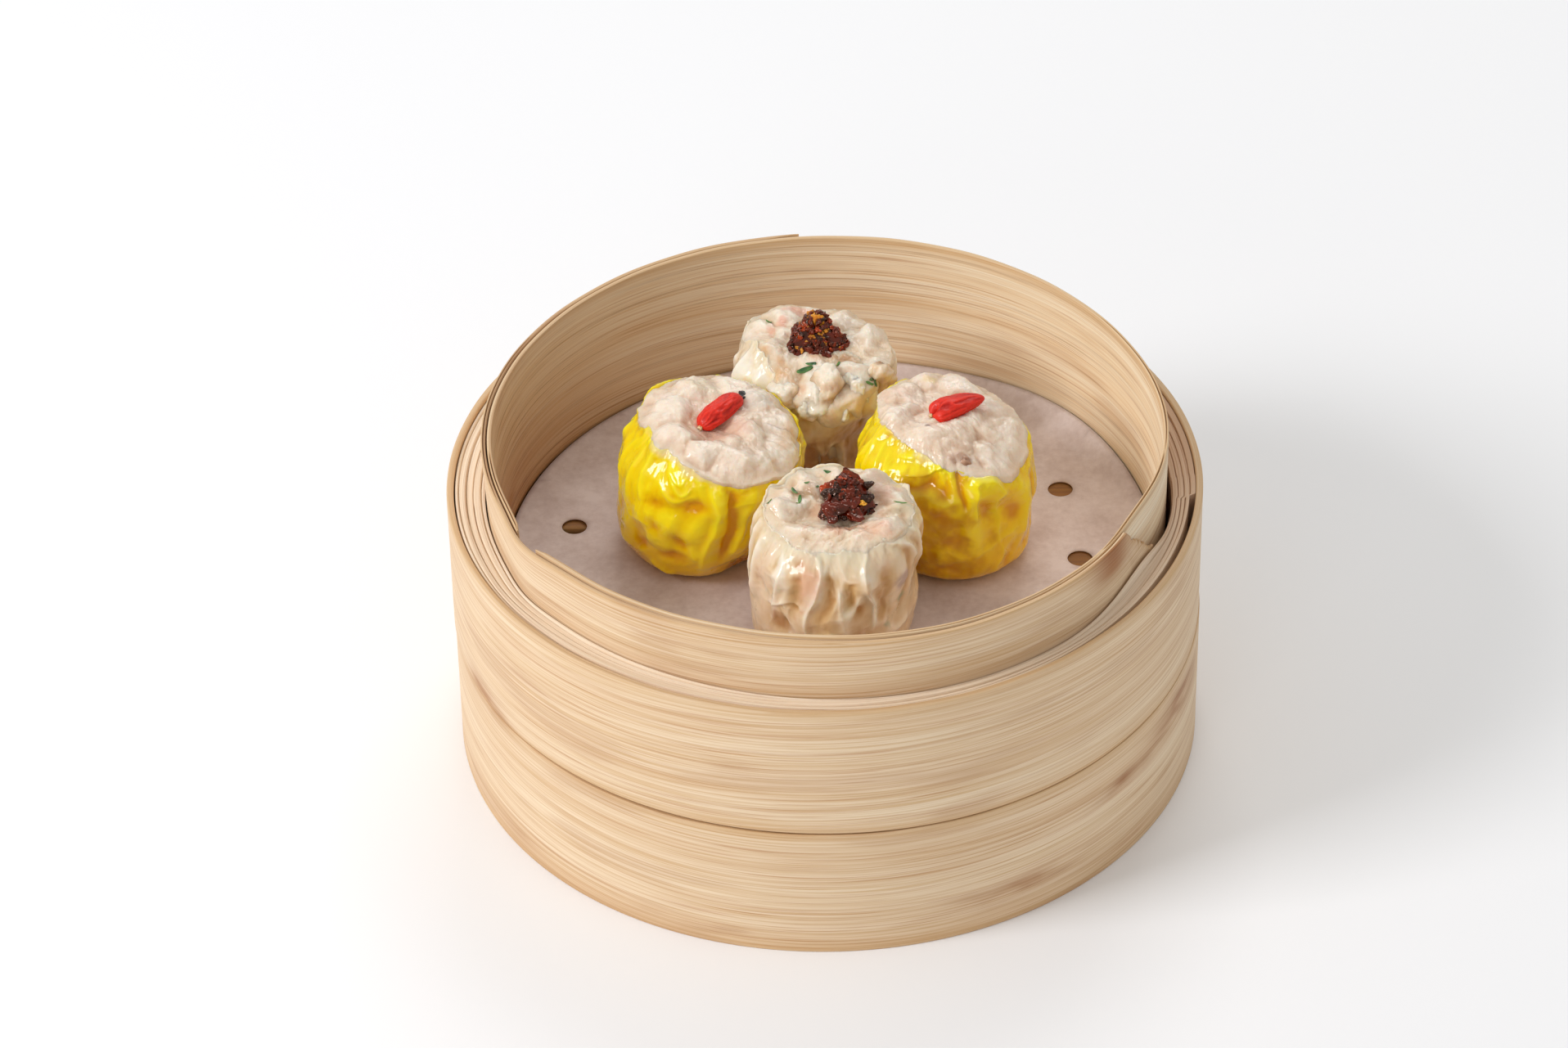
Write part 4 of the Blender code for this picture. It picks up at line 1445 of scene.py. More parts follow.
@dataclass
class Dumpling:
    """A siu mai: a wrapper cup round its filling.

    The body is turned about an axis that leans; neighbours that touch are pressed flat.
    """

    name: str
    golden: bool
    x: float
    y: float
    lean_x: float
    lean_y: float
    radii: tuple[float, ...]
    rim: float
    edge: Pairs       # turn, and height of the wrapper's edge
    over: Pairs       # turn, and how far the filling hangs past it
    crown: float
    middle: float                               # height of the filling's base in its middle
    tuck: Pairs = ((0, 0.0), (120, 0.0), (240, 0.0))
    drop: Pairs = ((0, 1.1), (120, 1.1), (240, 1.1))
    hollow: tuple[float, float, float] = (0.0, 0.0, 0.0)    # x, y and depth
    shoulder: float = 10.0                      # how far below its edge the cup starts to turn in
    turn_in: float = 1.7                        # how late it turns in
    folds: tuple[Fold, ...] = ()
    bulges: tuple[Bulge, ...] = ()
    lumps: tuple[Lump, ...] = ()
    patches: tuple[Patch, ...] = ()
    top_patches: tuple[Patch, ...] = ()
    oil: tuple[Patch, ...] = ()
    veil: str = "#F3DFC0"                       # colour of the wrapper's thin wet edge
    ragged: float = 0.4
    sway: float = 0.7
    wrinkle: float = 0.25
    wrinkle_turn: float = 210.0                 # where the fine wrinkles are deepest ...
    wrinkle_arc: float = 400.0                  # ... and how far round they spread
    bulge: float = 0.6
    crumb: float = 0.17
    small_lump: float = 0.5
    wall: float = 0.9
    seed: int = 1
    neighbours: list["Dumpling"] = field(default_factory=list)
    ground: Array | None = None            # points of the filling's top, once it is built
    ground_normals: Array | None = None

    def axis(self, height: Array) -> Array:
        """Centre of the leaning body at a height."""
        rise = np.asarray(height, float) - FOOD_FLOOR
        return np.stack([self.x + self.lean_x * rise, self.y + self.lean_y * rise], axis=-1)

    def radius(self, height: Array) -> Array:
        """Radius at a height, a smooth curve through the stations.

        Args:
            height: Height of each point.

        Returns:
            Millimetres for each.
        """
        span = self.rim - FOOD_FLOOR
        stations = tuple((FOOD_FLOOR + share * span, radius)
                         for share, radius in zip(STATION_SHARES, self.radii))
        return smooth_curve(np.clip(height, FOOD_FLOOR, self.rim + 0.5), stations)

    def place(self, turns: Array, radius: Array, height: Array) -> Array:
        """Carry points to their places: swayed by noise, and stopped softly by neighbours.

        Args:
            turns: Turn of each point, in degrees.
            radius: Distance from the leaning axis.
            height: Height of each point.

        Returns:
            Points in the basket.
        """
        centre = self.axis(height)
        points = around(turns, radius, height)
        points[..., :2] += centre
        way = Noise(self.seed + 5).vectors(points, 25.0, 6.5, 2)
        grown = ease(height, FOOD_FLOOR + 0.5, FOOD_FLOOR + 12.0)
        points = points + self.sway * grown[..., None] * way
        flat = points[..., :2]
        depth = np.maximum(0.0, self.radius(height) - radius)
        for other in self.neighbours:
            way = other.axis(height) - centre
            apart = np.linalg.norm(way, axis=-1)
            way = way / apart[..., None]
            mine = self.radii[4] / (self.radii[4] + other.radii[4])
            limit = apart * mine - PLAY / 2 - depth
            over = np.einsum("...i,...i->...", flat - centre, way) - limit
            over = (over + np.sqrt(over ** 2 + 0.16)) / 2
            flat = flat - way * over[..., None] * (over[..., None] > 0.02)
        return np.concatenate([flat, points[..., 2:]], axis=-1)

    def cup(self, turns: Array, height: Array) -> Array:
        """Radius of the cup's outside, folds and all: its shoulder turns in towards the edge.

        Args:
            turns: Turn of each point, in degrees.
            height: Height of each point.

        Returns:
            Distance from the leaning axis.
        """
        edge = smooth_curve(turns, self.edge, 360.0)
        rise = np.clip(1.0 - (edge - height) / self.shoulder, 0.0, 1.1) ** self.turn_in
        inset = smooth_curve(turns, self.tuck, 360.0) * rise
        return self.radius(height) - inset + self.relief(turns, height)

    def edge_height(self, turns: Array) -> Array:
        """Height of the wrapper's edge: a smooth line, torn at random."""
        torn = Noise(self.seed + 40).at(around(turns, 17.0, 0.0), 2.4, 3)
        return smooth_curve(turns, self.edge, 360.0) + self.ragged * torn

    def hidden_folds(self) -> list[Fold]:
        """Pleats for the side that faces away: upright lines, unevenly spaced and bent."""
        chance = np.random.default_rng(self.seed + 7)
        made = []
        for turn in np.arange(8.0, 172.0, 13.0):
            start, drift = turn + chance.uniform(-4, 4), chance.uniform(-9, 9)
            top, foot = self.rim - chance.uniform(0, 3), FOOD_FLOOR + chance.uniform(4, 12)
            path = ((start, top), (start + 0.3 * drift, (top + foot) / 2 + 3),
                    (start + drift, foot))
            height = chance.uniform(0.5, 1.1) * (1 if self.golden else 1.1)
            made.append(Fold(path, height, chance.uniform(0.9, 1.8), 1.3,
                             chance.uniform(-0.4, 0.4)))
        return made

    def relief(self, turns: Array, height: Array) -> Array:
        """How far the wrapper stands out: folds, broad bulges and drawn-out wrinkles.

        Args:
            turns: Turn of each point, in degrees.
            height: Height of each point.

        Returns:
            Millimetres for each.
        """
        mean = self.radii[4]
        spots = around(turns, mean, height)
        noise = Noise(self.seed)
        bent = turns + 5.0 * noise.at(spots + 31.0, 7.0)
        total = np.zeros(turns.shape)
        for fold in [*self.folds, *self.hidden_folds()]:
            total += fold.relief(bent * 0.35 + turns * 0.65, height, mean)
        for bulge in self.bulges:
            total += bulge.relief(bent, height, mean)
        warped = spots + 1.5 * noise.vectors(spots, 20.0, 4.0)
        total += self.bulge * (0.45 - 1.3 * np.abs(noise.at(warped, 7.0)))
        drawn = around(bent, mean, height * 0.32)
        patchy = 0.5 + 0.9 * noise.at(spots + 9.0, 5.0)
        lines = patchy * (1.0 - 2.4 * np.abs(noise.at(drawn + 5.0, 1.7, 3)))
        upper = ease(height, FOOD_FLOOR + 6.0, self.rim - 5.0)
        near = 0.25 + 0.75 * swell(turns, self.wrinkle_turn, self.wrinkle_arc)
        total += self.wrinkle * lines * (0.35 + 0.65 * upper) * near
        total += 0.10 * noise.at(spots, 1.5, 2)
        below = smooth_curve(turns, self.edge, 360.0) - height
        total += 1.4 * self.crumb * noise.at(spots + 3.0, 1.5, 3) * ease(below, 4.0, 1.0)
        share = (height - FOOD_FLOOR) / (self.rim - FOOD_FLOOR)
        return total * ease(share, -0.07, 0.12)

    def build_wrapper(self, finish: bpy.types.Material) -> None:
        """The cup: under the foot, up the outside, over its edge and down the inside.

        Args:
            finish: The dough's material.
        """
        turns = np.linspace(0.0, 360.0, COLUMNS, endpoint=False)[None, :]
        edge = self.edge_height(turns)
        up = np.linspace(0.0, 1.0, CUP_ROWS)[:, None] ** 0.9
        outside = FOOD_FLOOR + up * (edge - FOOD_FLOOR)
        down = np.array([0.12, 0.5, 1.0, 1.7, 2.6, 3.8, 5.2, 7.0, 12.0, 20.0])[:, None]
        inside = np.maximum(edge - down, FOOD_FLOOR + self.wall)
        height = np.concatenate([np.full((5, COLUMNS), FOOD_FLOOR), outside, inside,
                                 np.full((2, COLUMNS), FOOD_FLOOR + self.wall)])
        turns = np.broadcast_to(turns, height.shape)
        body = self.cup(turns, height)
        push = self.relief(turns, height)
        under = np.array([0.05, 0.3, 0.6, 0.85, 0.97])[:, None]
        body[:5] = body[5:6] * under
        thick = self.wall * np.concatenate([[0.35, 0.7], np.ones(8)])[:, None]
        first_in = 5 + CUP_ROWS
        body[first_in:first_in + 10] -= thick
        body[-2:] = (body[5:6] - self.wall) * np.array([[0.6], [0.1]])
        grid = self.place(turns, body, height)
        fine, broad = push - soften(push, 50), push - soften(push, 500)
        share = np.clip((height - FOOD_FLOOR) / (self.rim - FOOD_FLOOR), 0.0, 1.0)
        round_ = turns * math.radians(self.radii[4])
        patch = self.paint(self.patches, round_, height, math.radians(self.radii[4]))
        ragged = 1.3 * Noise(self.seed + 70).at(grid, 2.6, 3)
        below = smooth_curve(turns, self.edge, 360.0) - height + ragged
        veil = ease(below, *((1.3, -0.4) if self.golden else (3.6, 0.4)))
        veil *= 0.6 * swell(turns, 248.0, 70.0) if self.golden else 0.85
        lay_over(patch, self.veil, veil)
        # relief gives folds and broad dents the deep colour, and low darkens the wrapper towards
        # the foot; both are partly painted shade.
        marks = {"relief": np.clip(0.54 + 0.62 * fine + 0.40 * broad, 0.0, 1.0),
                 "low": (1.0 - share) ** 1.5, "patch": patch}
        slot = Slot.GOLDEN_WRAPPER if self.golden else Slot.WHITE_WRAPPER
        finish_piece(skin(f"{self.name}_skin", grid, marks), finish, slot, f"{self.name}_wrapper")

    def paint(self, patches: tuple[Patch, ...], across: Array, up: Array,
              scale: float = 0.0) -> Array:
        """Colours of patches laid over each other, with their strength as alpha.

        A patch is a bell, exp(-(dx / width)^2 - (dy / height)^2), broken up by noise.

        Args:
            patches: The patches, the last one on top.
            across: First coordinate of each grid point, in millimetres.
            up: Second coordinate of each grid point.
            scale: Millimetres for a degree where the first coordinate goes round, or 0.

        Returns:
            Four numbers for each point.
        """
        spots = np.stack([across, up, 0 * up], axis=-1)
        noise = Noise(self.seed + 90)
        ragged = 0.55 * noise.at(spots, 2.2, 3)
        painted = np.zeros((*np.shape(up), 4))
        for patch in patches:
            at = patch.at * scale if scale else patch.at
            dx = across - at
            if scale:
                whole = 360.0 * scale
                dx = (dx + whole / 2) % whole - whole / 2
            bell = (dx / patch.width) ** 2 + ((up - patch.up) / patch.height) ** 2
            cover = patch.strength * (1.0 - ease(np.sqrt(bell) + ragged, 0.35, 1.35))
            lay_over(painted, patch.colour, cover)
        return painted

    def build_filling(self, finish: bpy.types.Material) -> None:
        """The filling: a lumpy crown, a shoulder over the wrapper's edge, and a closed base.

        Args:
            finish: The mince's material.
        """
        turns = np.linspace(0.0, 360.0, COLUMNS, endpoint=False)[None, :]
        over = smooth_curve(turns, self.over, 360.0)
        drop = smooth_curve(turns, self.drop, 360.0)
        edge = smooth_curve(turns, self.edge, 360.0) + 0.15 + np.minimum(over, 0.0)
        brim = self.cup(turns, edge) - 0.12 + np.maximum(over, -0.15)
        share = np.linspace(0.015, 1.0, TOP_ROWS)[:, None]
        blend = ease(share, 0.30, 1.0)
        dome = self.crown * (1.0 - share ** 3.0)
        top = self.middle + (edge - self.middle) * blend + dome
        bend = np.radians(np.linspace(0.0, 90.0, TURN_ROWS + 1)[1:])[:, None]
        shoulder = edge - drop * np.sin(bend)
        inside = edge - drop - np.array([1.5, 3.5, 6.0])[:, None]
        all_turns = np.broadcast_to(turns, (TURN_ROWS, COLUMNS))
        within = self.cup(all_turns[:3], inside) - self.wall - 0.4
        height = np.concatenate([top, shoulder, inside, inside[-1:], inside[-1:]])
        beside = (self.cup(all_turns, shoulder) - 0.12 + np.maximum(over, -0.15)
                  * np.cos(bend) - 0.4 * (1 - np.cos(bend)))
        radius = np.concatenate([share * brim, beside, within, brim * np.array([[0.6], [0.1]])])
        turns = np.broadcast_to(turns, height.shape)
        base = around(turns, radius, height)
        normals = grid_normals(base)
        normals[:3] = (0.0, 0.0, 1.0)
        outward = np.sign(normals[60:70, :, 2].mean())
        normals[3:] *= outward
        push = self.lump_relief(base)
        gap = np.hypot(base[..., 0] - self.hollow[0], base[..., 1] - self.hollow[1])
        push -= self.hollow[2] * np.exp(-(gap / 6.5) ** 2)
        shown = np.concatenate([np.ones(TOP_ROWS + TURN_ROWS - 4), np.linspace(0.8, 0.0, 4),
                                np.zeros(BASE_ROWS)])[:, None]
        edge_share = np.concatenate([ease(share[:, 0], 0.80, 1.0),
                                     np.ones(TURN_ROWS + BASE_ROWS)])[:, None]
        push = push + edge_share * (0.4 * np.maximum(push, 0.0) - push)
        moved = base + normals * (push * shown)[..., None]
        flat_turn = np.degrees(np.arctan2(moved[..., 1], moved[..., 0]))
        grid = self.place(flat_turn, np.hypot(moved[..., 0], moved[..., 1]), moved[..., 2])
        fine, broad = push - soften(push, 60), push - soften(push, 700)
        # relief gives the mince the deep colour between lumps, partly painted shade.
        marks = {"relief": np.clip(0.60 + 0.45 * fine + 0.30 * broad, 0.0, 1.0),
                 "patch": self.paint(self.top_patches, moved[..., 0], moved[..., 1]),
                 "oil": self.paint(self.oil, moved[..., 0], moved[..., 1])[..., 3]}
        self.ground = grid[:TOP_ROWS].reshape(-1, 3)
        self.ground_normals = grid_normals(grid)[:TOP_ROWS].reshape(-1, 3)
        if self.ground_normals[:, 2].mean() < 0:
            self.ground_normals = -self.ground_normals
        finish_piece(skin(f"{self.name}_mince", grid, marks), finish, Slot.FILLING,
                     f"{self.name}_filling")

    def lump_relief(self, base: Array) -> Array:
        """Height of the lumps: the greatest of the named ones at each point, made a little
        soft, over billows, |noise|, which are round on top with creases between them.

        Args:
            base: Points of the filling's even surface.

        Returns:
            Millimetres for each.
        """
        power = 5.0
        noise = Noise(self.seed + 60)
        bent = base + 1.6 * noise.vectors(base, 40.0, 5.0)
        total = np.zeros(base.shape[:-1])
        for lump in self.lumps:
            gap = np.hypot(bent[..., 0] - lump.x, bent[..., 1] - lump.y)
            total += (lump.height * np.clip(1.0 - (gap / lump.size) ** 2, 0.0, 1.0)) ** power
        billows = self.small_lump * (1.7 * np.abs(noise.at(bent, 6.5))
                                     + 0.70 * noise.at(bent + 9.0, 3.2, 2) - 0.9)
        crumb = noise.at(base, 1.5, 3) - 0.5 * np.abs(noise.at(base + 7.0, 0.9, 2))
        return 0.8 * total ** (1.0 / power) + billows + self.crumb * crumb

    def on_top(self, x: float, y: float) -> tuple[Array, Array]:
        """Point and normal of the filling's top nearest to a place from the rim's middle.

        Args:
            x: To the right of the rim's middle.
            y: Behind the rim's middle.

        Returns:
            The point and its normal.
        """
        middle = self.axis(self.rim)
        gap = np.hypot(self.ground[:, 0] - middle[0] - x, self.ground[:, 1] - middle[1] - y)
        best = int(np.argmin(gap))
        return self.ground[best], self.ground_normals[best]


# ---- toppings --------------------------------------------------------
@dataclass
class Bits:
    """Many small closed bodies of one kind, joined into one piece.

    Each is a ball, knobbly by a sum of waves and cut by random planes, where the distance to a
    plane d * n = h is h / (d * n). It is squeezed to its own three sizes, turned and set down.
    """

    name: str
    spots: Array           # items x 3
    ups: Array             # items x 3, the way each one's thin side faces
    sizes: Array           # items x 3, half length, half width and half thickness
    spins: Array           # turn of each about its own up
    knobs: float = 0.22
    curl: float = 0.0
    grain: float = 0.0
    facets: int = 0             # flat cuts on each
    rows: int = 12
    columns: int = 18
    seed: int = 1

    def build(self, finish: bpy.types.Material, slot: Slot, *nodes: str) -> bpy.types.Object:
        """Make all the bodies as one array and skin them.

        Args:
            finish: Their material.
            slot: The slot that it takes.
            nodes: CAD nodes that they stand for.

        Returns:
            The piece.
        """
        chance = np.random.default_rng(self.seed)
        count = len(self.spots)
        tilt = np.radians(np.linspace(4.0, 176.0, self.rows))[None, :, None]
        turn = np.radians(np.linspace(0.0, 360.0, self.columns, endpoint=False))[None, None]
        ball = np.stack([np.sin(tilt) * np.cos(turn), np.sin(tilt) * np.sin(turn),
                         np.cos(tilt) + 0 * turn], axis=-1)
        ball = np.broadcast_to(ball, (count, *ball.shape[1:]))
        wave = np.zeros(ball.shape[:-1])
        for strength in (1.0, 0.7, 0.5, 0.35):
            way = chance.normal(size=(count, 3)) * (1.6 / strength)
            phase = chance.uniform(0, math.tau, (count, 1, 1))
            wave += strength * np.sin(np.einsum("nrcx,nx->nrc", ball, way) + phase)
        reach = 1.0 + self.knobs * wave / 1.6
        if self.facets:
            ways = chance.normal(size=(count, self.facets, 3))
            ways *= (chance.uniform(1.0, 1.7, (count, self.facets))
                     / np.linalg.norm(ways, axis=-1))[..., None]
            cuts = np.maximum(np.einsum("nrcx,nfx->nrcf", ball, ways), 0.0) ** 10
            reach *= (0.6 + cuts.sum(axis=-1)) ** -0.1
        body = ball * reach[..., None] * self.sizes[:, None, None, :]
        body[..., 2] += self.curl * self.sizes[:, None, None, 2] * (ball[..., 0] ** 2)
        if self.grain:
            apart = body + 9.0 * np.arange(count)[:, None, None, None]
            cell = 0.45 * self.sizes.mean()
            body += ball * self.grain * Noise(self.seed).at(apart, cell, 3)[..., None]
        up = self.ups / np.linalg.norm(self.ups, axis=1, keepdims=True)
        side = np.cross(up, np.array([0.31, 0.95, 0.05]))
        side /= np.linalg.norm(side, axis=1, keepdims=True)
        front = np.cross(up, side)
        spin = np.radians(self.spins)[:, None]
        long_way = side * np.cos(spin) + front * np.sin(spin)
        wide_way = np.cross(up, long_way)
        axes = np.stack([long_way, wide_way, up], axis=1)
        grid = np.einsum("nrcx,nxy->nrcy", body, axes) + self.spots[:, None, None, :]
        shade = chance.uniform(-0.3, 0.3, (count, 1, 1))
        relief = np.clip(0.5 + 0.3 * wave + shade, 0.0, 1.0)
        marks = {"relief": relief, "patch": np.zeros((*relief.shape, 4))}
        return finish_piece(skin(self.name, grid, marks), finish, slot, *nodes)


@dataclass
class GojiBerry:
    """A dried goji berry: a plump spindle with wrinkles along it, bent a little.

    Its radius at a share t along it is (1 - |t|^3)^0.5 times the half width, less a wrinkle
    that follows the ridges of noise drawn out along the berry.
    """

    name: str
    node: str
    turn: float
    tilt: float
    length: float = 12.4
    width: float = 5.4
    thick: float = 4.2
    bend: float = 0.5
    ends: tuple[float, float] = (4.5, 4.0)      # how blunt its two ends are
    taper: float = 0.0                          # how much narrower the far end is
    notch: float = 0.0                          # how deep the near end is notched
    seed: int = 1

    def build(self, looks: Finishes, host: Dumpling) -> None:
        """Turn the berry, wrinkle it and lay it over its solid, on its host's filling.

        Args:
            looks: The finishes.
            host: The dumpling that the berry lies on.
        """
        along = -np.cos(np.radians(np.linspace(3.0, 177.0, 110)))[:, None]
        turn = np.radians(np.linspace(0.0, 360.0, 96, endpoint=False))[None, :]
        noise = Noise(self.seed)
        blunt = np.abs(along) ** np.where(along < 0, *self.ends)
        girth = np.sqrt(np.maximum(0.0, 1.0 - blunt)) * (1.0 - self.taper * ease(along, -0.5, 1))
        spots = np.stack([2.2 * np.cos(turn) + 0 * along, 2.2 * np.sin(turn) + 0 * along,
                          along * 1.5 + 0 * turn], axis=-1)
        warp = spots + 0.35 * noise.at(spots * 1.5 + 4.0, 1.0)[..., None]
        ridges = 1.0 - np.abs(noise.at(warp, 0.95, 2)) * 2.0
        wrinkle = 0.075 * ridges + 0.05 * noise.at(spots * 2.4, 1.0, 3)
        dent = 0.10 * np.exp(-((along - 0.35) / 0.3) ** 2 - ((turn - math.pi / 2) / 0.5) ** 2)
        radius = girth * (0.93 + wrinkle - dent)
        cleft = self.notch * ease(-along, 0.55, 1.0) * np.cos(turn) ** 4
        shorter = 1.0 - self.notch * ease(-along, 0.5, 1.0) * np.exp(-(np.cos(turn) / 0.4) ** 2)
        radius = radius + 0.3 * cleft * girth
        body = np.stack([along * self.length / 2 * shorter,
                         radius * np.cos(turn) * self.width / 2,
                         radius * np.sin(turn) * self.thick / 2
                         - self.bend * along ** 2 + 0.3 * self.bend], axis=-1)
        low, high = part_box(self.node)
        middle = np.array((low + high) / 2 / MM)
        rim_x, rim_y = host.axis(host.rim)
        ground, _ = host.on_top(middle[0] - rim_x, middle[1] - rim_y)
        sunk = middle[2] - ground[2] - 0.36 * self.thick
        middle += (0.0, 1.3 * sunk, -sunk)
        lay = (Matrix.Rotation(math.radians(self.turn), 3, "Z")
               @ Matrix.Rotation(math.radians(-self.tilt), 3, "Y"))
        grid = body @ np.array(lay).T + np.array(middle)
        relief = np.clip(0.5 + 0.45 * ridges + 0 * along, 0.0, 1.0)
        finish_piece(skin(f"{self.name}_berry", grid, {"relief": relief}), looks.goji,
                     Slot.GOJI, self.node)
        tip = np.array([[-self.length / 2 - 0.1, 0.0, -self.bend * 0.7]]) @ np.array(lay).T
        Bits(f"{self.name}_stalk_scar", tip + np.array(middle), np.array([[0.4, 0.2, 1.0]]),
             np.array([[0.45, 0.6, 0.45]]), np.array([self.turn]), knobs=0.25,
             seed=self.seed).build(looks.goji_tip, Slot.GOJI)


@dataclass
class SauceHeap:
    """A heap of fried chilli sauce: wet chopped bits of many sizes over a smaller core.

    ``pieces`` are the larger bits: finish, x, y and z from the middle of the heap's foot, three
    half sizes, spin, and the x and y of the way the thin side faces.
    """

    name: str
    node: str
    kinds: tuple[tuple[str, int, float, float], ...]    # finish, count, half size, flatness
    pieces: tuple[tuple, ...] = ()
    peak_x: float = 0.2
    peak_y: float = 2.6
    waist: float = 1.15                                 # below 1 for a heap with full sides
    seed: int = 1

    def cone(self, turns: Array, share: Array, size: Array) -> Array:
        """Surface of the heap: the outline shrinks as it rises, towards a peak off the middle.

        Args:
            turns: Turn of each point, in degrees.
            share: 0 at the peak to 1 at the foot.
            size: The heap's half width, half depth and height.

        Returns:
            Points from the middle of the heap's base.
        """
        angle = np.radians(turns)
        outline = 1.0 + 0.12 * np.cos(3 * angle + 0.7) + 0.10 * np.sin(5 * angle + 2.0)
        rise = 1.0 - share ** self.waist + 0 * angle
        return np.stack([size[0] * share * outline * np.cos(angle) + self.peak_x * rise,
                         size[1] * share * outline * np.sin(angle) + self.peak_y * rise,
                         size[2] * rise], axis=-1)

    def build(self, looks: Finishes) -> None:
        """The core, each kind of bit scattered over it, then the larger bits by name.

        Args:
            looks: The finishes.
        """
        low, high = (np.array(corner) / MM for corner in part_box(self.node))
        size = np.array([(high[0] - low[0]) / 2, (high[1] - low[1]) / 2 * 0.86,
                         (high[2] - low[2]) * 1.12])
        foot = np.array([(low[0] + high[0]) / 2, (low[1] + high[1]) / 2 - self.peak_y * 0.35,
                         low[2]])
        chance = np.random.default_rng(self.seed)
        share = np.linspace(0.03, 1.0, 70)[:, None]
        turns = np.linspace(0.0, 360.0, 140, endpoint=False)[None, :]
        core = self.cone(turns, share, size * (0.90, 0.90, 0.90))
        noise = Noise(self.seed + 2)
        core += 0.6 * noise.at(core, 1.8, 3)[..., None] * (0.5, 0.5, 0.8)
        under = core[-1:] * (0.7, 0.7, 1.0) - (0.0, 0.0, 1.6)
        grid = np.concatenate([core, under]) + foot
        relief = np.clip(0.5 + noise.at(grid, 1.3, 2), 0.0, 1.0)
        finish_piece(skin(f"{self.name}_core", grid, {"relief": relief}), looks.sauces["oil"],
                     Slot.SAUCE, self.node)
        for kind, count, half, flat in self.kinds:
            place = np.sqrt(chance.uniform(0.0, 1.0, count)) * 0.98 + 0.02
            turn = chance.uniform(0.0, 360.0, count)
            spots = self.cone(turn, place, size * 0.92) + foot
            outward = spots - foot - np.array([self.peak_x, self.peak_y, -1.0])
            outward += chance.normal(0.0, 1.1, (count, 3))
            outward[:, 2] = np.abs(outward[:, 2]) + 0.6
            scale = chance.uniform(0.55, 1.45, (count, 1)) * half * np.array([1.0, 0.76, flat])
            Bits(f"{self.name}_{kind}", spots, outward, scale, chance.uniform(0.0, 360.0, count),
                 knobs=0.30, curl=0.6, grain=0.16, facets=9, rows=16, columns=24,
                 seed=self.seed + count).build(looks.sauces[kind], Slot.SAUCE)
        for kind in dict.fromkeys(row[0] for row in self.pieces):
            table = np.array([row[1:] for row in self.pieces if row[0] == kind], float)
            ups = np.concatenate([table[:, 7:9], np.full((len(table), 1), 1.0)], axis=1)
            Bits(f"{self.name}_large_{kind}", table[:, :3] + foot, ups, table[:, 3:6],
                 table[:, 6], knobs=0.24, curl=0.5, grain=0.24, facets=8, rows=32,
                 columns=46, seed=self.seed + 40).build(looks.sauces[kind], Slot.SAUCE)


@dataclass
class Garnish:
    """Small things lying in a dumpling's top: (x, y, half sizes, spin) from the rim's middle."""

    name: str
    host: Dumpling
    rows: tuple[tuple[float, ...], ...]
    sink: float = 0.0
    knobs: float = 0.2
    curl: float = 0.0

    def build(self, finish: bpy.types.Material) -> None:
        """Lay each thing on the filling, along its surface.

        Args:
            finish: The material of its things.
        """
        found = [self.host.on_top(row[0], row[1]) for row in self.rows]
        normals = np.array([normal for _, normal in found])
        spots = np.array([point for point, _ in found]) - self.sink * normals
        table = np.array(self.rows)
        Bits(self.name, spots, normals, table[:, 2:5], table[:, 5], self.knobs, self.curl,
             seed=len(self.name)).build(finish, Slot.FILLING)


# ---- the four dumplings ----------------------------------------------
def each(kind: type, *rows: tuple) -> tuple:
    """Make one thing of a kind from each row of its values."""
    return tuple(kind(*row) for row in rows)


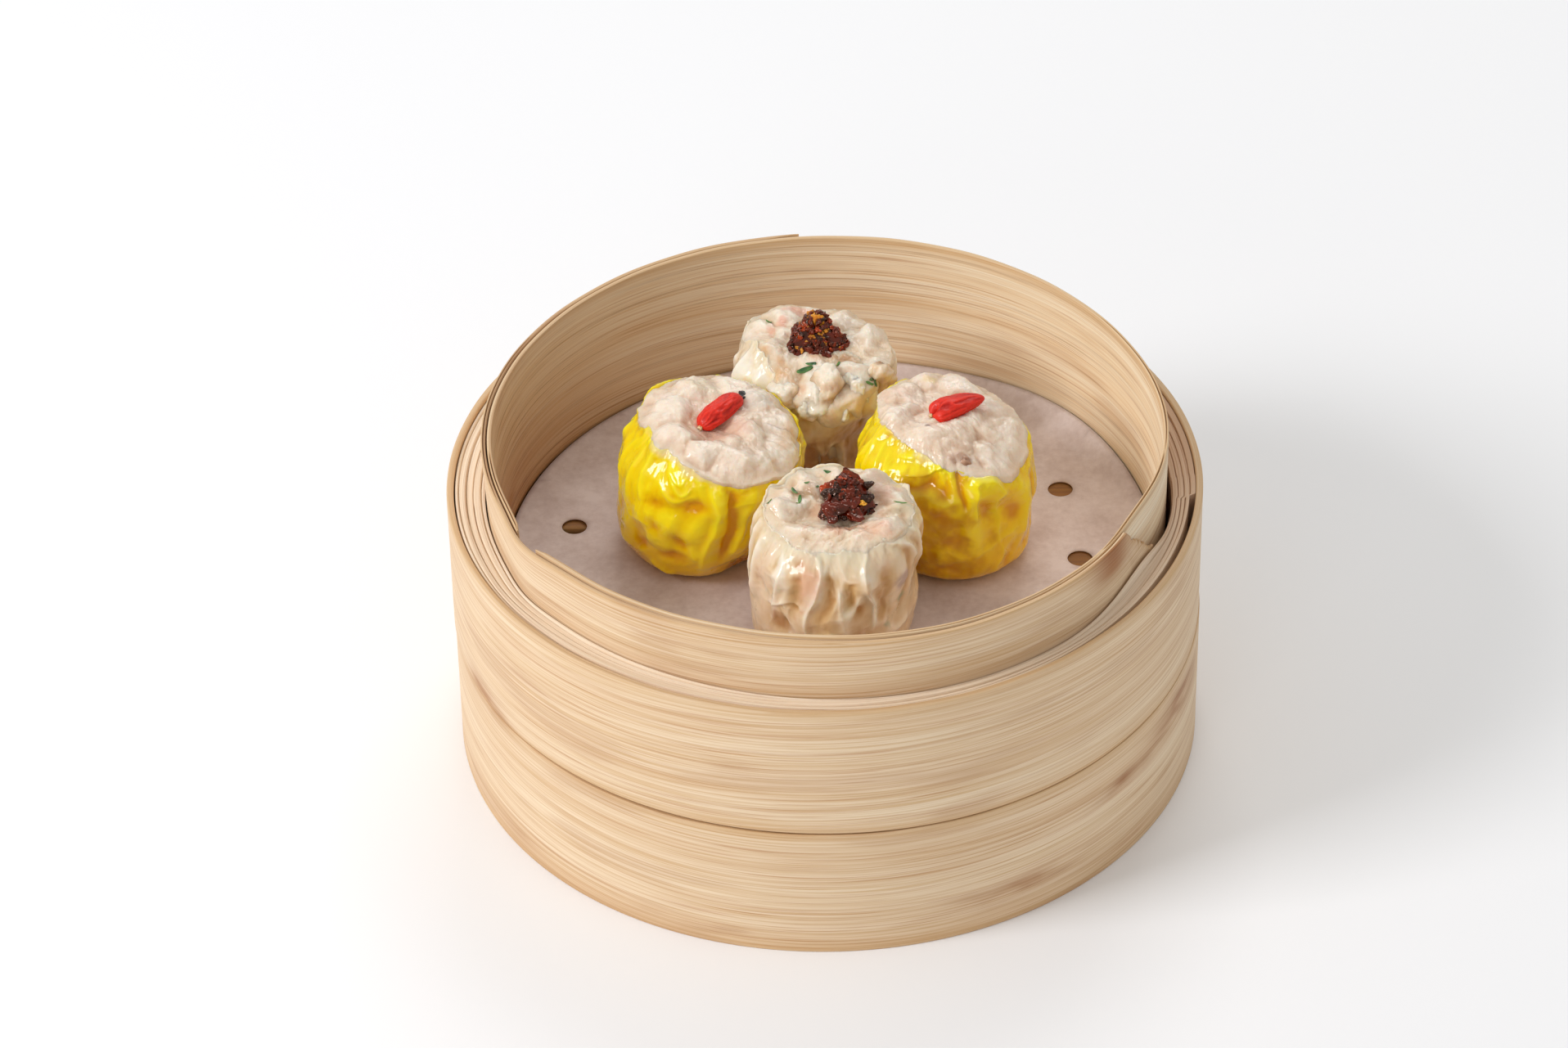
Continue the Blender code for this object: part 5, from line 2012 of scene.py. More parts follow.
def golden_left() -> Dumpling:
    """The egg-dough dumpling on the left: crinkled above, and dimpled below."""
    folds = each(
        Fold, (((266, 72), (275, 64), (271, 55), (270, 47)), 0.8, 1.5, 1.7, 0.4),
        (((282, 71.4), (284, 62), (281, 50.4)), -0.9, 1.3, 1.8, 0.3),
        (((296, 70.3), (294, 63), (289, 51.5)), 0.8, 1.4, 1.7, -0.3),
        (((306, 69), (304, 60), (302, 50)), -0.7, 1.4, 1.8),
        (((318, 68.5), (317, 60), (314, 50)), 0.7, 1.6, 1.8),
        (((232, 72.6), (243, 69.6), (250, 68.4), (256, 70.2)), 0.45, 0.45),
        (((230, 73.4), (240, 71.2), (247, 70.4), (253, 71.8)), 0.45, 0.4),
        (((228, 70.8), (236, 68), (246, 66.8), (258, 68.6)), 0.4, 0.5),
        (((232, 49.6), (243, 47.6), (254, 46.6)), 0.7, 1, 1.6),
        (((200, 73), (203, 67), (205, 60)), 0.35, 0.9),
        (((214, 74), (217, 68), (226, 63)), 0.4, 0.8),
        (((185, 72), (186, 64), (190, 56)), 0.4, 1.1))
    bulges = each(
        Bulge, (223, 62, 3, 2.4, 0.7), (243, 61, 3, 2.8, 1), (262, 60, 2.6, 3.6, 0.8),
        (231, 56.4, 2.4, 2, 0.6), (264, 54, 3, 2.4, 0.8), (212, 56, 2.4, 2.6, 0.5),
        (205, 51, 3, 2, 0.6), (248, 66, 4.6, 2.4, -0.5), (259, 66, 2.6, 1.8, -0.7),
        (233, 64.6, 2.4, 1.6, -0.5), (234, 59.4, 1.6, 1.6, -0.6), (253, 56.6, 2.2, 2.4, -0.7),
        (244, 52.6, 4.4, 1.5, -0.7), (243, 55.6, 2.4, 1.8, 0.4), (222, 53, 2.4, 1.8, -0.5),
        (280, 58, 2, 5, -0.4), (300, 54, 2.4, 4, 0.4), (195, 58, 3, 2.4, -0.4),
        (309, 45.5, 5.5, 6, -2.2), (215, 45.5, 5, 4, -0.8))
    lumps = each(
        Lump, (-11.2, 3.2, 6.2, 2.2), (-8.4, -6, 5.4, 1.9), (-2.8, -11, 4.6, 2.3),
        (4.6, -13.2, 5.6, 1.8), (10.4, -11, 5, 1.4), (13.4, -5.5, 5.6, 1.8), (13.4, 2, 5.2, 1.5),
        (-5.2, 11.4, 6.2, 2.4), (3.4, 13, 5.4, 1.9), (10, 9, 5.2, 1.7), (-12, 9, 4.4, 1.3),
        (3, -7.6, 3.4, 1), (8.4, -3, 3.6, 0.9))
    return Dumpling(
        "golden_left", True, -27.3, 4, 0.16, 0, (13.2, 15.4, 17.8, 19, 19.3, 19.1, 18.2), 72.3,
        edge=((20, 72), (60, 73), (110, 73.8), (135, 74.6), (164, 73.4), (190, 74), (216, 74.2),
              (243, 73.8), (264, 73.2), (285, 71.8), (310, 70.2), (340, 69.4)),
        over=((20, -0.4), (60, 0), (105, 0.2), (135, -0.7), (160, 0.1), (200, 0), (250, 0.1),
              (280, 0.3), (310, 0.3), (335, 0.1)),
        tuck=((20, 1.2), (60, 0.8), (110, 0), (145, 0), (165, 0.8), (181, 2.2), (192, 4),
              (212, 2.6), (230, 3.8), (246, 1.8), (262, 1.2), (278, 0), (330, 0)), crown=3,
        hollow=(0, -2.5, 2), middle=72.9, folds=folds, bulges=bulges, lumps=lumps,
        # The first top patch darkens the hollow in the middle of the top: painted shade.
        top_patches=each(
            Patch, (1, -3, 6.5, 3.6, "#DDAE94", 0.5), (-6, -0.5, 2, 3.6, "#D8A06E", 0.45),
            (-3, 10, 5, 3, "#EFDDB8", 0.5), (14.5, -2, 1.8, 3.6, "#D39A48", 0.45),
            (8, 6.5, 3, 2.4, "#C9C0B2", 0.4)), wrinkle=0.1, wrinkle_turn=215, wrinkle_arc=50,
        bulge=0.5, seed=11)


def golden_right() -> Dumpling:
    """The egg-dough dumpling on the right: a lip folded across, and smooth dents below."""
    folds = each(
        Fold, (((232, 70.6), (249, 71), (268, 73), (276, 74)), 0.9, 0.8, 1.2, 0.4),
        (((238, 68.6), (252, 68.8), (266, 70.6)), -0.8, 1),
        (((224, 72.6), (240, 73.4), (256, 74.2)), 0.4, 0.5),
        (((217, 69.4), (226, 70.8), (240, 71.6)), 0.35, 0.5),
        (((285, 73), (282, 69), (281, 64)), -1, 0.9),
        (((294, 72.5), (293, 67), (292, 60)), 0.8, 0.9, 1.3),
        (((287, 69.6), (298, 70.6), (309, 69.4), (316, 65)), 0.8, 0.8, 1.3, -0.3),
        (((284, 52.5), (300, 54), (324, 56.5)), 0.6, 1.4, 1.7, 0.4),
        (((258, 53), (269, 54.5), (280, 52)), 0.5, 1.4, 1.7),
        (((196, 73.5), (199, 67), (205, 59)), 0.45, 0.6),
        (((206, 74), (210, 68), (216, 61)), 0.45, 0.6),
        (((190, 73.5), (190, 67), (195, 60)), 0.4, 0.6),
        (((214, 72.4), (219, 68), (227, 63)), 0.5, 0.7),
        (((330, 68), (331, 60), (328, 50)), 0.7, 1.6, 1.8),
        (((346, 66), (347, 58), (345, 50)), -0.6, 1.5, 1.8))
    bulges = each(
        Bulge, (262, 64, 4, 4, -1), (277, 57, 4, 4, -0.9), (305, 62, 4.4, 4.4, -0.7),
        (291, 58, 2.4, 4, 0.7), (309, 55, 3, 1.8, -0.5), (318, 60, 2.4, 2, -0.6),
        (334, 51, 2.6, 2.4, -0.6), (322, 54.6, 2.4, 2, 0.6), (245, 58, 3, 4, 0.5),
        (270, 49.6, 4, 1.8, -0.6), (291, 49, 4, 1.8, 0.5), (302, 69, 3, 1.8, 0.5),
        (274, 69, 3, 2.6, -0.5), (338, 63, 3, 3, 0.5))
    lumps = each(
        Lump, (-7.5, 9, 5.6, 1.3), (-1.3, 14.6, 4.6, 2), (6, 13.6, 5.6, 1.4), (12.4, 8, 5.6, 1.3),
        (14.6, -1.5, 5.8, 1.6), (12.6, -9.6, 5.6, 1.8), (4.6, -12, 5.2, 1.1), (-2.6, -7.6, 5, 1),
        (-8.6, 1, 5, 1.1), (3, -4, 5.6, 0.9), (8, 1, 4.6, 0.8))
    return Dumpling(
        "golden_right", True, 27.6, 1.4, -0.12, 0.07, (13, 15.2, 17, 18, 18.3, 18.1, 16.9), 72.6,
        edge=((20, 72), (60, 73), (110, 73.8), (154, 75), (185, 75.2), (215, 75), (244, 74.6),
              (262, 73.8), (285, 72.4), (300, 71.4), (323, 69), (344, 68.4)),
        over=((20, 0.1), (90, 0.2), (120, -0.3), (150, 0), (190, 0), (230, 0), (270, 0),
              (310, -0.1), (340, 0.1)),
        tuck=((20, 0.3), (60, 0), (110, 0), (142, 1.4), (156, 3.4), (190, 5.6), (223, 5.8),
              (245, 5.4), (262, 3.8), (276, 2), (290, 1), (306, 0), (340, 0)), shoulder=12,
        crown=3.2, middle=73, folds=folds, bulges=bulges, lumps=lumps,
        top_patches=each(
            Patch, (-0.6, 12.4, 1.8, 1.1, "#E5BF62", 0.5), (7.5, 2.4, 3.6, 2, "#C39A78", 0.5),
            (-1.7, -5.2, 0.8, 0.5, "#6E4A46", 0.8), (-4.4, 0.6, 0.5, 0.4, "#D98A4C", 0.6),
            (5.2, -12.4, 3.4, 1.6, "#B48468", 0.75), (4.8, -9.4, 2.6, 1.4, "#C9A283", 0.6),
            (-8, 8, 4.5, 3, "#E3BD9E", 0.45)),
        # The two amber patches on the front's left, middle and low, are painted shade where the
        # front dumpling shadows this one.
        patches=each(Patch, (252, 59, 11, 11, "#B87200", 0.6), (274, 51, 8, 7, "#C08000", 0.4)),
        wrinkle=0.09, wrinkle_turn=210, wrinkle_arc=40, bulge=0.6, small_lump=0.4, seed=23)


def white_front() -> Dumpling:
    """The wheat-dough dumpling in front: long upright pleats and a ragged, scalloped rim."""
    folds = each(
        Fold, (((226, 74), (246, 73), (256, 70.6), (252, 62), (252, 55)), 1, 0.6, 1.2),
        (((299, 73.5), (290, 70), (293, 64), (297, 59), (299, 54)), 1.2, 0.55, 1.2, 0.3),
        (((224, 73), (229, 68.4), (226, 62), (222, 55)), 0.8, 0.9, 1.3),
        (((270, 68), (274, 61), (279, 54)), 0.7, 0.8, 1.3),
        (((289, 65.6), (283, 62.5), (276, 59.6)), 0.7, 0.6, 1.3),
        (((213, 59), (228, 60.5), (240, 62.5), (250, 61.6)), 0.6, 0.8, 1.4, 0.4),
        (((222, 56.5), (230, 55.6), (238, 57)), -0.7, 2, 1.9),
        (((240, 69), (241, 65), (240, 60.5)), -0.8, 1.5, 1.8),
        (((263, 70), (263, 66), (262, 57)), -0.7, 1.8, 1.8),
        (((282, 69), (281, 66), (285, 58)), -0.6, 1.5, 1.8),
        (((304, 70), (305, 64), (306, 56)), -0.8, 2, 1.9),
        (((304, 73.6), (318, 73), (332, 70.6), (340, 66)), 0.8, 0.7, 1.3),
        (((328, 72.5), (327, 65), (325, 55)), -0.5, 1.6, 1.8),
        (((341, 73.6), (346, 70), (350, 62)), 0.7, 0.9, 1.3),
        (((310, 54), (320, 52), (334, 53)), 0.6, 1.1, 1.3),
        (((196, 73), (198, 66), (196, 56)), 0.8, 1, 1.3),
        (((181, 73), (182, 66), (184, 56)), 0.7, 1, 1.3),
        (((252, 56), (256, 51), (259, 47)), -0.6, 1, 1.4),
        (((268, 57), (269, 52), (266, 47)), 0.6, 0.9, 1.4),
        (((288, 56), (290, 51), (288, 47)), 0.6, 0.9, 1.4),
        (((236, 56), (240, 51), (243, 47)), 0.6, 1, 1.4))
    lumps = each(
        Lump, (-9, -7, 5, 0.9), (-11, 2, 4.8, 1.2), (-6, 9, 4.8, 1.2), (1, 11.5, 4.6, 1.1),
        (8, 9, 4.8, 1.2), (12, 3.5, 4.6, 1.1), (10.4, -7, 5, 1.2), (-2, -9, 4.6, 0.6),
        (4, -10.5, 4.8, 0.6))
    return Dumpling(
        "white_front", False, 0.9, -27.2, 0.055, 0.02, (14.6, 16.2, 17, 17.5, 17.7, 17.3, 15.6),
        73.4,
        edge=((0, 74.6), (14, 73.4), (28, 74.8), (45, 73.6), (58, 74.9), (75, 73.8), (92, 75),
              (108, 73.9), (124, 75), (140, 73.7), (154, 74.9), (166, 73.6), (180, 74.8),
              (196, 73.2), (212, 74), (230, 73.6), (250, 73.2), (268, 73), (290, 73.2),
              (310, 73.4), (330, 73.6), (345, 73.2)),
        over=((0, -0.1), (30, -0.4), (60, -0.1), (90, -0.4), (120, -0.1), (150, -0.5),
              (185, -0.1), (210, -0.1), (240, -0.1), (270, -0.1), (305, -0.1), (330, -0.1)),
        tuck=((0, 0), (100, 0), (190, 0.2), (215, 1.4), (240, 2.8), (270, 3.4), (300, 2.6),
              (330, 0.9)), shoulder=7, turn_in=2.4, crown=1.7, middle=72.9, folds=folds,
        lumps=lumps,
        bulges=each(
            Bulge, (345, 60, 8, 8, -0.9), (255, 64, 3, 3, 0.4), (230, 66, 3, 3, 0.4),
            (292, 68, 3.4, 2.4, 0.5), (318, 68, 3, 3, 0.4)),
        patches=each(
            Patch, (247, 68.5, 3, 8, "#ECB69A", 0.6), (283, 66.5, 3, 2.6, "#D9B478", 0.5),
            (264, 58.5, 4, 5, "#DFBD88", 0.5), (240, 64, 1.6, 5, "#D8B883", 0.55),
            (306, 63, 2.4, 6, "#CFA873", 0.55), (319, 64.7, 2.4, 2.2, "#9C8088", 0.6),
            (324, 60, 1.5, 1.8, "#7F9A72", 0.6), (309, 54.6, 1.5, 1.2, "#6F9068", 0.55),
            (228, 56.6, 3.2, 2.8, "#C08F62", 0.6), (247, 51, 3.6, 2.4, "#C79A6C", 0.4),
            (287, 52, 3, 3.6, "#C69866", 0.55), (300, 71.5, 4.5, 3, "#F3D3BA", 0.4),
            (208, 64, 4, 8, "#F2D6BE", 0.45)),
        top_patches=each(
            Patch, (-6.8, 4.2, 3, 2.4, "#A87C46", 0.75), (1, -5.6, 7, 2.2, "#DB9670", 0.6),
            (-4.4, 0.4, 1.8, 3.4, "#C98E62", 0.6), (8.8, 1.6, 2.2, 4, "#D2946A", 0.55),
            (6.5, -8.4, 4, 1.8, "#E5A883", 0.5), (10, 8, 3.6, 3, "#EBC2A8", 0.45),
            (-4, 7, 3.6, 2, "#D9B69C", 0.4), (12.4, -0.6, 3, 1.6, "#C8C2A2", 0.45)),
        oil=each(Patch, (1.5, -6, 8, 4.5, "#FFFFFF", 1), (10, 2, 4, 3, "#FFFFFF", 1)),
        veil="#F2DDBE", ragged=0.5, sway=0.8, wrinkle=0.12, bulge=0.4, small_lump=0.6, seed=37)


def white_back() -> Dumpling:
    """The wheat-dough dumpling at the back: lobes of filling hang over its narrow waist."""
    folds = each(
        Fold, (((300, 70.5), (306, 67.5), (312, 63)), 0.8, 1.2, 1.4, 0.3),
        (((306, 69), (311, 65), (315, 61)), -0.9, 1.1),
        (((322, 73), (322, 68), (320, 62)), 1, 1.6),
        (((338, 73), (337, 67), (334, 60)), -0.9, 1.4),
        (((352, 73.5), (350, 68), (346, 60)), 1, 1.4),
        (((240, 69), (245, 64), (252, 58)), 0.8, 1.4),
        (((228, 72), (232, 66), (238, 58)), -0.8, 1.4),
        (((214, 73), (215, 66), (220, 56)), 0.9, 1.6, 1.6),
        (((183, 75), (186, 69), (192, 60)), 1.2, 1, 1.2),
        (((200, 70), (202, 64), (207, 57)), -0.7, 2.2, 1.9),
        (((276, 60), (282, 56), (289, 60.5)), 1, 0.8, 1.2),
        (((262, 62), (266, 55), (268, 48)), 0.8, 1.2),
        (((300, 58), (300, 52), (298, 47)), 0.8, 1.2),
        (((285, 54), (284, 50), (282, 46.5)), -0.8, 1.2))
    lumps = each(
        Lump, (2.4, -13, 6.2, 2.2), (-2.6, -15, 4.6, 1.4), (7.6, -14.6, 4.4, 1.4),
        (10.4, -8.6, 5.2, 2.4), (14.8, -5.4, 4.6, 1.4), (-12, 6, 5.2, 1.6),
        (-5.4, 12.2, 5.2, 1.9), (1.5, 14, 4.6, 1.4), (8.4, 11, 5.2, 1.6), (13, 5.4, 5.2, 1.6),
        (-4.6, 4.6, 4.2, 1), (9, 3, 4.2, 0.9), (1, -6.6, 4.2, 0.9), (-7.6, -12, 4.4, 1.1),
        (-12.4, -6, 4.6, 0.7))
    return Dumpling(
        "white_back", False, -2.9, 30.2, 0, 0.04, (12.8, 13.7, 13.4, 13.8, 15.6, 17.3, 16.4), 73,
        edge=((0, 73), (20, 73.9), (40, 72.6), (60, 73.8), (82, 72.6), (104, 73.8), (124, 73.2),
              (142, 73.6), (158, 73.4), (170, 75), (181, 76.4), (192, 76), (206, 75.4),
              (218, 74.4), (234, 72.8), (256, 70.8), (282, 70.8), (300, 71.2), (322, 72),
              (342, 72.6)),
        over=((0, 0.3), (60, 0), (120, 0.1), (148, -0.3), (164, -0.6), (182, -0.5), (200, -0.2),
              (218, -0.1), (238, 0.3), (256, 0.5), (268, 0.3), (278, 0.8), (288, 0.8), (296, 0.4),
              (304, 0.8), (312, 0.5), (320, 0.1), (335, 0.6), (348, 0.2)),
        drop=((0, 1.6), (60, 1.2), (120, 1.2), (170, 1.1), (215, 1.2), (240, 2.6), (256, 3.4),
              (268, 2.6), (277, 5.2), (288, 5.6), (296, 2.6), (305, 6), (314, 2.4), (330, 3.2),
              (345, 2)),
        tuck=((60, 0), (140, 0), (162, 1.4), (178, 4), (194, 5.2), (212, 5), (229, 3.4),
              (250, 1.2), (275, 0), (330, 0)), shoulder=12, turn_in=1.3, crown=1.9, middle=73,
        folds=folds, lumps=lumps,
        # The dark brown patch at the narrow waist, and the brown ones beside it from turn 240 to
        # 318, are painted shade below the hanging lobes.
        patches=each(
            Patch, (204, 70, 11, 8, "#FBF3E6", 0.8), (262, 54, 9, 8, "#AE6E30", 0.7),
            (285, 57.5, 3, 2, "#DDB27C", 0.5), (300, 62, 5, 5, "#C79A66", 0.5),
            (318, 56, 7, 7, "#B28353", 0.5), (240, 60, 5, 4, "#CF9A60", 0.5)),
        top_patches=each(
            Patch, (-10, -4.8, 1.8, 2.8, "#E2AC70", 0.7), (-7.2, -10, 1.8, 3, "#E2AC70", 0.7),
            (-4.4, -13.4, 3.2, 1.6, "#E0A068", 0.6), (-3.3, 12.8, 2.4, 1.6, "#E8977A", 0.55),
            (-5.6, 8.4, 1.2, 2.4, "#E48E6C", 0.6), (-8.4, 4.8, 1.3, 2, "#E59C7C", 0.6),
            (-4.6, -17.6, 2, 1.6, "#DFAE88", 0.5), (5.5, -9.6, 2.6, 0.7, "#D2A684", 0.5),
            (1, -4.6, 5.4, 1.5, "#C98A4E", 0.6)),
        oil=each(Patch, (0.5, -3, 6.5, 4, "#FFFFFF", 1)), ragged=0.5, wrinkle=0.12, bulge=0.5,
        small_lump=0.55, seed=53)


@dataclass
class Meal:
    """The four dumplings with what lies on them."""

    finishes: Finishes

    def build(self) -> None:
        """Shape the dumplings, then set their toppings."""
        looks = self.finishes
        left, right, front, back = golden_left(), golden_right(), white_front(), white_back()
        for one, other in ((left, front), (right, front), (left, back), (right, back)):
            one.neighbours.append(other)
            other.neighbours.append(one)
        for dumpling in (left, right, front, back):
            dumpling.build_wrapper(looks.golden if dumpling.golden else looks.white)
            dumpling.build_filling(looks.pork if dumpling.golden else looks.shrimp)
        GojiBerry("goji_left", "golden_left_goji", 48, 6, seed=3).build(looks, left)
        GojiBerry("goji_right", "golden_right_goji", 24, 4, width=6.4, ends=(7, 2.2),
                  taper=0.3, notch=0.25, seed=8).build(looks, right)
        self.sauce()
        self.lobes(back)
        self.garnish(left, right, front, back)

    def sauce(self) -> None:
        """The two heaps: a loose one with a flake stood on end, and a tall crumbly one."""
        SauceHeap("chilli_front", "white_front_sauce",
                  kinds=(("burnt", 50, 0.62, 0.55), ("paste", 46, 0.85, 0.45),
                         ("flake", 16, 0.7, 0.3)),
                  pieces=(("skin", 0.8, 3.3, 3.9, 3.3, 2.3, 0.32, 120, 0.2, -1.3),
                          ("skin", 2.7, 2.2, 2.9, 1.9, 1.5, 0.4, 70, 0.8, -1.1),
                          ("flake", -3.5, 2.4, 2.4, 2.2, 1.5, 0.7, 30, -0.5, -0.6),
                          ("burnt", -3, 0.2, 2.7, 2, 1.6, 1.1, 10, -0.4, -0.3),
                          ("burnt", -0.9, 1, 3.7, 1.5, 1.2, 1, 60, 0, -0.4),
                          ("burnt", 4.5, 1.4, 3.6, 1.1, 0.9, 1.5, 20, 0.3, 0),
                          ("burnt", 4.2, -1.2, 2.2, 1.6, 1.2, 0.9, 50, 0.4, -0.3),
                          ("paste", 1.4, -0.8, 3.1, 1.9, 1.5, 1, 40, 0.2, -0.5),
                          ("oil", -2.1, -3.2, 1.4, 2.8, 2.3, 1.2, 15, -0.1, -0.4),
                          ("oil", -3, -5, 0.6, 1.3, 1.4, 0.7, 80, -0.1, -0.4),
                          ("oil", 1.8, -4.4, 0.8, 1.5, 2.2, 0.9, 70, 0.1, -0.4),
                          ("oil", 0.8, -2.6, 2.1, 2.2, 1.6, 0.9, 40, 0.1, -0.6),
                          ("seed", 3.2, -2.6, 2.4, 1.3, 0.55, 0.35, 175, 0, -0.7)),
                  waist=1.5, seed=4).build(self.finishes)
        SauceHeap("chilli_back", "white_back_sauce",
                  kinds=(("paste", 110, 0.80, 0.6), ("flake", 44, 0.72, 0.45),
                         ("garlic", 24, 0.45, 0.6), ("burnt", 24, 0.6, 0.6)),
                  pieces=(("seed", 0.5, 1.6, 4.7, 1.5, 1.5, 0.9, 30, 0.1, -0.9),
                          ("garlic", -0.8, 3.3, 5.2, 1, 0.8, 0.7, 30, -0.2, 0),
                          ("garlic", 0.6, 3.7, 5.3, 0.8, 0.7, 0.6, 80, 0.2, 0),
                          ("garlic", -0.6, -1.6, 2.6, 0.9, 0.7, 0.5, 10, 0, -0.8),
                          ("garlic", 2.4, 0, 3.2, 0.8, 0.6, 0.5, 60, 0.4, -0.6),
                          ("flake", 1.9, 2.8, 4.8, 1.1, 0.9, 0.8, 10, 0.5, -0.2),
                          ("oil", -4, -3.2, 0.7, 1.8, 0.8, 0.4, 170, -0.1, -0.3),
                          ("oil", 1.4, -4.2, 0.6, 2.2, 0.8, 0.4, 5, 0.1, -0.3)),
                  peak_x=0.5, peak_y=3, waist=1.25, seed=9).build(self.finishes)

    def lobes(self, host: Dumpling) -> None:
        """Lobes of the back dumpling's filling that hang over its front.

        Args:
            host: The dumpling at the back.
        """
        rows = np.array(((3, -12.8, 70.8, 5.8, 4.6, 4.9, 0), (-4.8, -12.6, 71.4, 4.2, 3.4, 3, 20),
                         (9.8, -11.6, 69.4, 1.9, 2.2, 4.4, 0),
                         (14.6, -6.4, 70.4, 3.2, 3.6, 4.6, 0),
                         (8.8, -7.4, 72.8, 4.8, 3.8, 2.4, 30), (0, -15.6, 69.4, 3.2, 2.4, 2.8, 0),
                         (6.4, -14.8, 68.6, 2.4, 2, 2.4, 0)))
        foot_x, foot_y = host.axis(host.rim)
        spots = rows[:, :3] + (foot_x, foot_y, 0)
        Bits("white_back_lobes", spots, np.tile((0.05, -0.25, 1), (len(rows), 1)),
             rows[:, 3:6], rows[:, 6] - 72.0, knobs=0.18, grain=0.45, facets=5, rows=54,
             columns=84, seed=5).build(self.finishes.shrimp, Slot.FILLING)

    def garnish(self, left: Dumpling, right: Dumpling, front: Dumpling, back: Dumpling) -> None:
        """Herbs, a mushroom slice, specks and a bit of stalk.

        Args:
            left: The golden one on the left.
            right: The golden one on the right.
            front: The white one in front.
            back: The white one at the back.
        """
        looks = self.finishes
        Garnish("herbs_front", front,
                ((-8.8, 5, 1.5, 0.45, 0.18, 125), (-7.8, 3, 1, 0.40, 0.18, 100),
                 (-6.3, 6.9, 0.5, 0.3, 0.12, 10), (-4.2, 6, 0.5, 0.3, 0.12, 80),
                 (-2, 12.6, 1, 0.45, 0.2, 160), (12.8, 0.8, 1.5, 0.22, 0.12, 170),
                 (-14, 1.4, 0.8, 0.35, 0.15, 70), (-8, 1.6, 0.45, 0.3, 0.12, 30)),
                knobs=0.3, curl=1.5).build(looks.herb)
        Garnish("herbs_back", back,
                ((-8.8, 8.4, 0.8, 0.4, 0.18, 20), (-1, -8, 1.7, 0.6, 0.2, 20),
                 (0.4, -7, 1.2, 0.5, 0.2, 0), (6, -7.2, 0.8, 0.35, 0.15, 95),
                 (7.3, -0.6, 0.7, 0.45, 0.15, 30), (13.2, -9.6, 1.3, 0.4, 0.18, 60),
                 (14, -10.4, 1.2, 0.35, 0.18, 120), (12.6, -11, 0.9, 0.35, 0.15, 20),
                 (13.8, -8.6, 0.9, 0.3, 0.15, 95)),
                knobs=0.3, curl=1.5).build(looks.herb)
        Garnish("mushroom_bits", right, ((5.4, -12.4, 1.5, 1.2, 0.9, 172),
                                         (3, -12.9, 0.9, 0.7, 0.5, 20),
                                         (5, -8.8, 1.2, 0.7, 0.5, 160)),
                sink=0.5, knobs=0.2).build(looks.mushroom)
        Garnish("dark_specks", left, ((5.4, 9, 1.2, 0.7, 0.5, 140),
                                      (5.8, 7.4, 0.5, 0.4, 0.3, 10)),
                sink=0.1, knobs=0.25).build(looks.peppercorn)


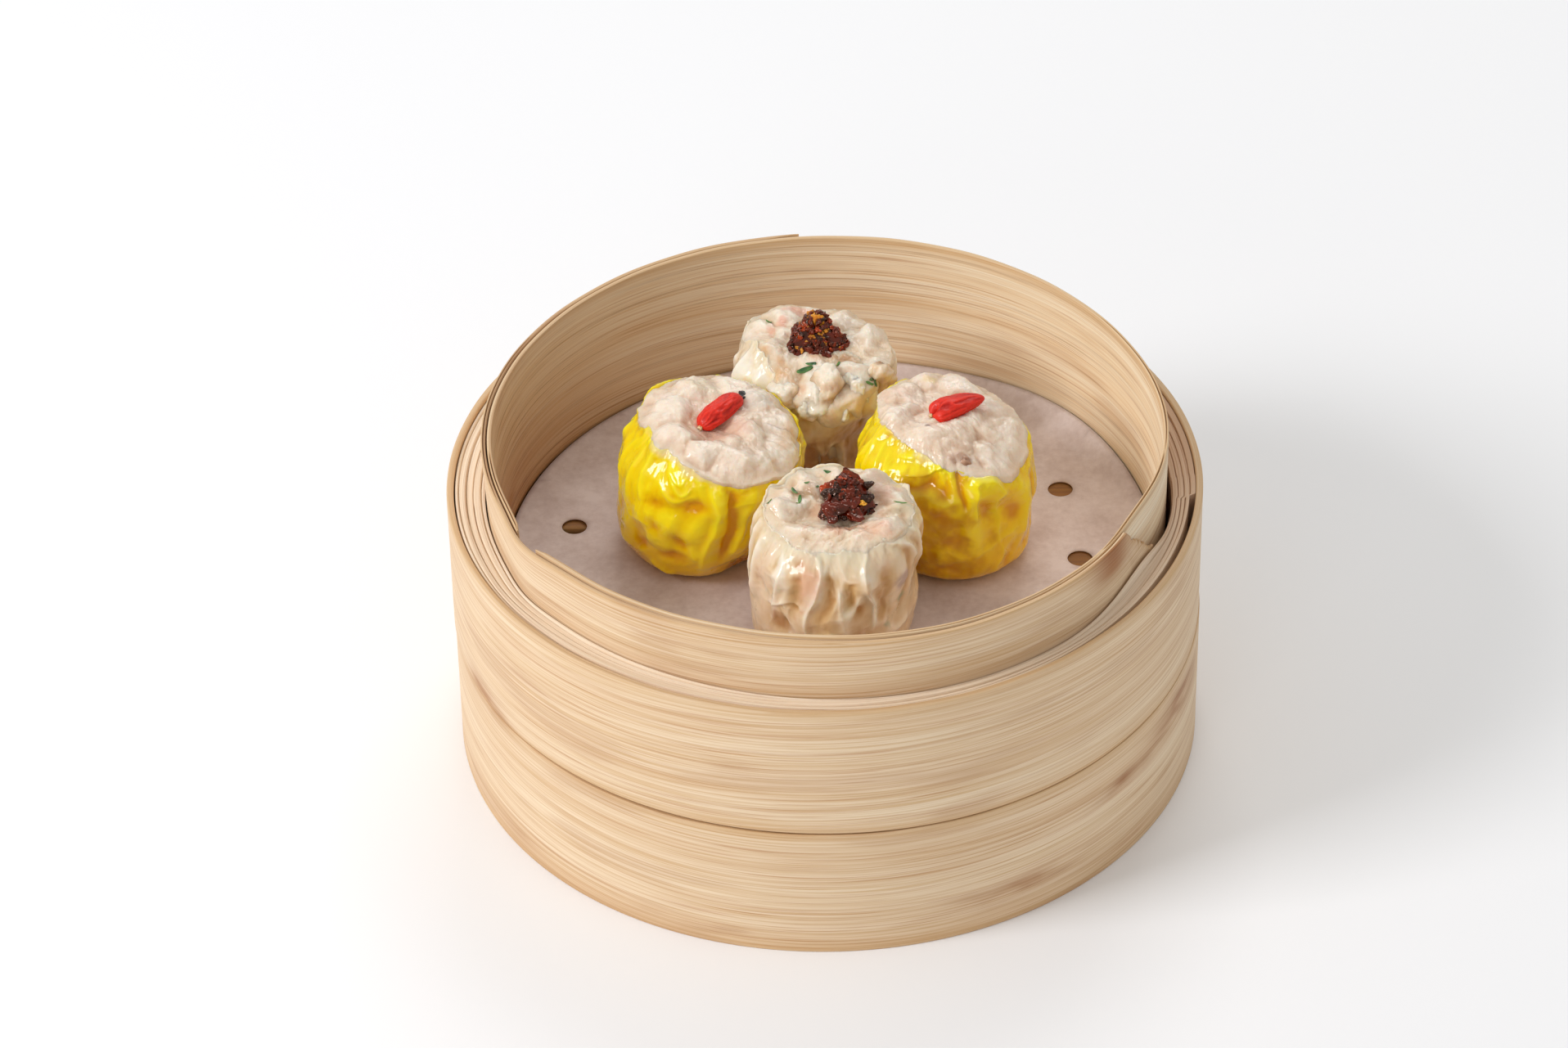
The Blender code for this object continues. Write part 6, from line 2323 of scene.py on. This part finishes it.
# ---- studio ----------------------------------------------------------
@dataclass
class Studio:
    """The camera, the lights and the pale floor."""

    distance: float = 1170.6        # from the camera to the aim, in millimetres
    aim_height: float = 30.0
    rise: float = 38.225            # how far the camera stands above the aim, in degrees
    pitch: float = 37.423           # how far it looks down
    yaw: float = -0.552
    roll: float = -1.086
    lens: float = 124.89
    finish: Finish = StudioFloor("matt_white_board")

    def build(self) -> None:
        """Set the camera, then the floor and the lights."""
        self.set_camera()
        self.set_floor()
        self.add_light("key", (-1.16, -0.46, 0.90), 0.5, 13.0, "#FBFBFF")
        self.add_light("front", (-0.45, -1.25, 0.60), 0.35, 1.1, "#FFFFFF")
        self.add_light("top", (0.15, 0.85, 1.15), 0.6, 4.0, "#FFFFFF")
        world = bpy.data.worlds.new("studio")
        world.use_nodes = True
        world.node_tree.nodes["Background"].inputs["Color"].default_value = linear("#FFFFFF")
        world.node_tree.nodes["Background"].inputs["Strength"].default_value = 0.53
        bpy.context.scene.world = world
        bpy.context.scene.view_settings.view_transform = "Standard"

    def set_camera(self) -> None:
        """Stand the camera in front and above, aimed by its yaw, pitch and roll."""
        rise, pitch, yaw, roll = map(math.radians, (self.rise, self.pitch, self.yaw, self.roll))
        forward = Vector((math.sin(yaw) * math.cos(pitch), math.cos(yaw) * math.cos(pitch),
                          -math.sin(pitch)))
        level = Vector((math.cos(yaw), -math.sin(yaw), 0.0))
        upright = level.cross(forward)
        right = math.cos(roll) * level + math.sin(roll) * upright
        up = -math.sin(roll) * level + math.cos(roll) * upright
        turn = Matrix((right, up, -forward)).transposed().to_4x4()
        place = Vector((0.0, -self.distance * math.cos(rise),
                        self.distance * math.sin(rise) + self.aim_height)) * MM
        data = bpy.data.cameras.new("camera")
        data.lens, data.sensor_width = self.lens, 36.0
        camera = put("camera", data)
        camera.matrix_world = Matrix.Translation(place) @ turn
        bpy.context.scene.camera = camera

    def set_floor(self) -> None:
        """A wide board that curves up behind: height grows with the square past its bend."""
        across = np.linspace(-4000.0, 4000.0, 9)[None, :]
        along = np.linspace(-3000.0, 4000.0, 90)[:, None]
        height = np.maximum(0.0, along - 1200.0) ** 2 / 2200.0
        points = np.stack([across + 0 * along, along + 0 * across, height + 0 * across], -1)
        rows, columns, _ = points.shape
        spots = np.arange(rows * columns).reshape(rows, columns)
        quads = np.stack([spots[:-1, :-1], spots[:-1, 1:], spots[1:, 1:], spots[1:, :-1]], -1)
        mesh = bpy.data.meshes.new("studio_floor")
        mesh.from_pydata((points.reshape(-1, 3) * MM).tolist(), [], quads.reshape(-1, 4).tolist())
        mesh.shade_smooth()
        mesh.materials.append(self.finish.build())
        put("studio_floor", mesh)

    @staticmethod
    def add_light(name: str, place: tuple[float, float, float], size: float, power: float,
                  colour: str) -> None:
        """A square soft light, in metres, aimed at the basket.

        Args:
            name: Name of the light.
            place: Where it stands, in metres.
            size: Length of its side, in metres.
            power: Watts.
            colour: Colour as #RRGGBB.
        """
        data = bpy.data.lights.new(name, "AREA")
        data.shape, data.size, data.energy = "SQUARE", size, power
        data.color = linear(colour)[:3]
        light = put(name, data)
        light.location = place
        aim = Vector((0.0, 0.0, 0.05)) - Vector(place)
        light.rotation_mode = "QUATERNION"
        light.rotation_quaternion = aim.to_track_quat("-Z", "Y")


def main() -> None:
    """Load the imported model, then build the looks round it, part by part."""
    logging.basicConfig(level=logging.INFO, format="%(message)s")
    for old in list(bpy.data.objects):
        bpy.data.objects.remove(old, do_unlink=True)
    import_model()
    finishes = Finishes()
    LOG.info("basket")
    Basket(finishes).build()
    Liner().build(finishes.paper)
    LOG.info("dumplings")
    Meal(finishes).build()
    LOG.info("studio")
    Studio().build()


if __name__ == "__main__":
    main()
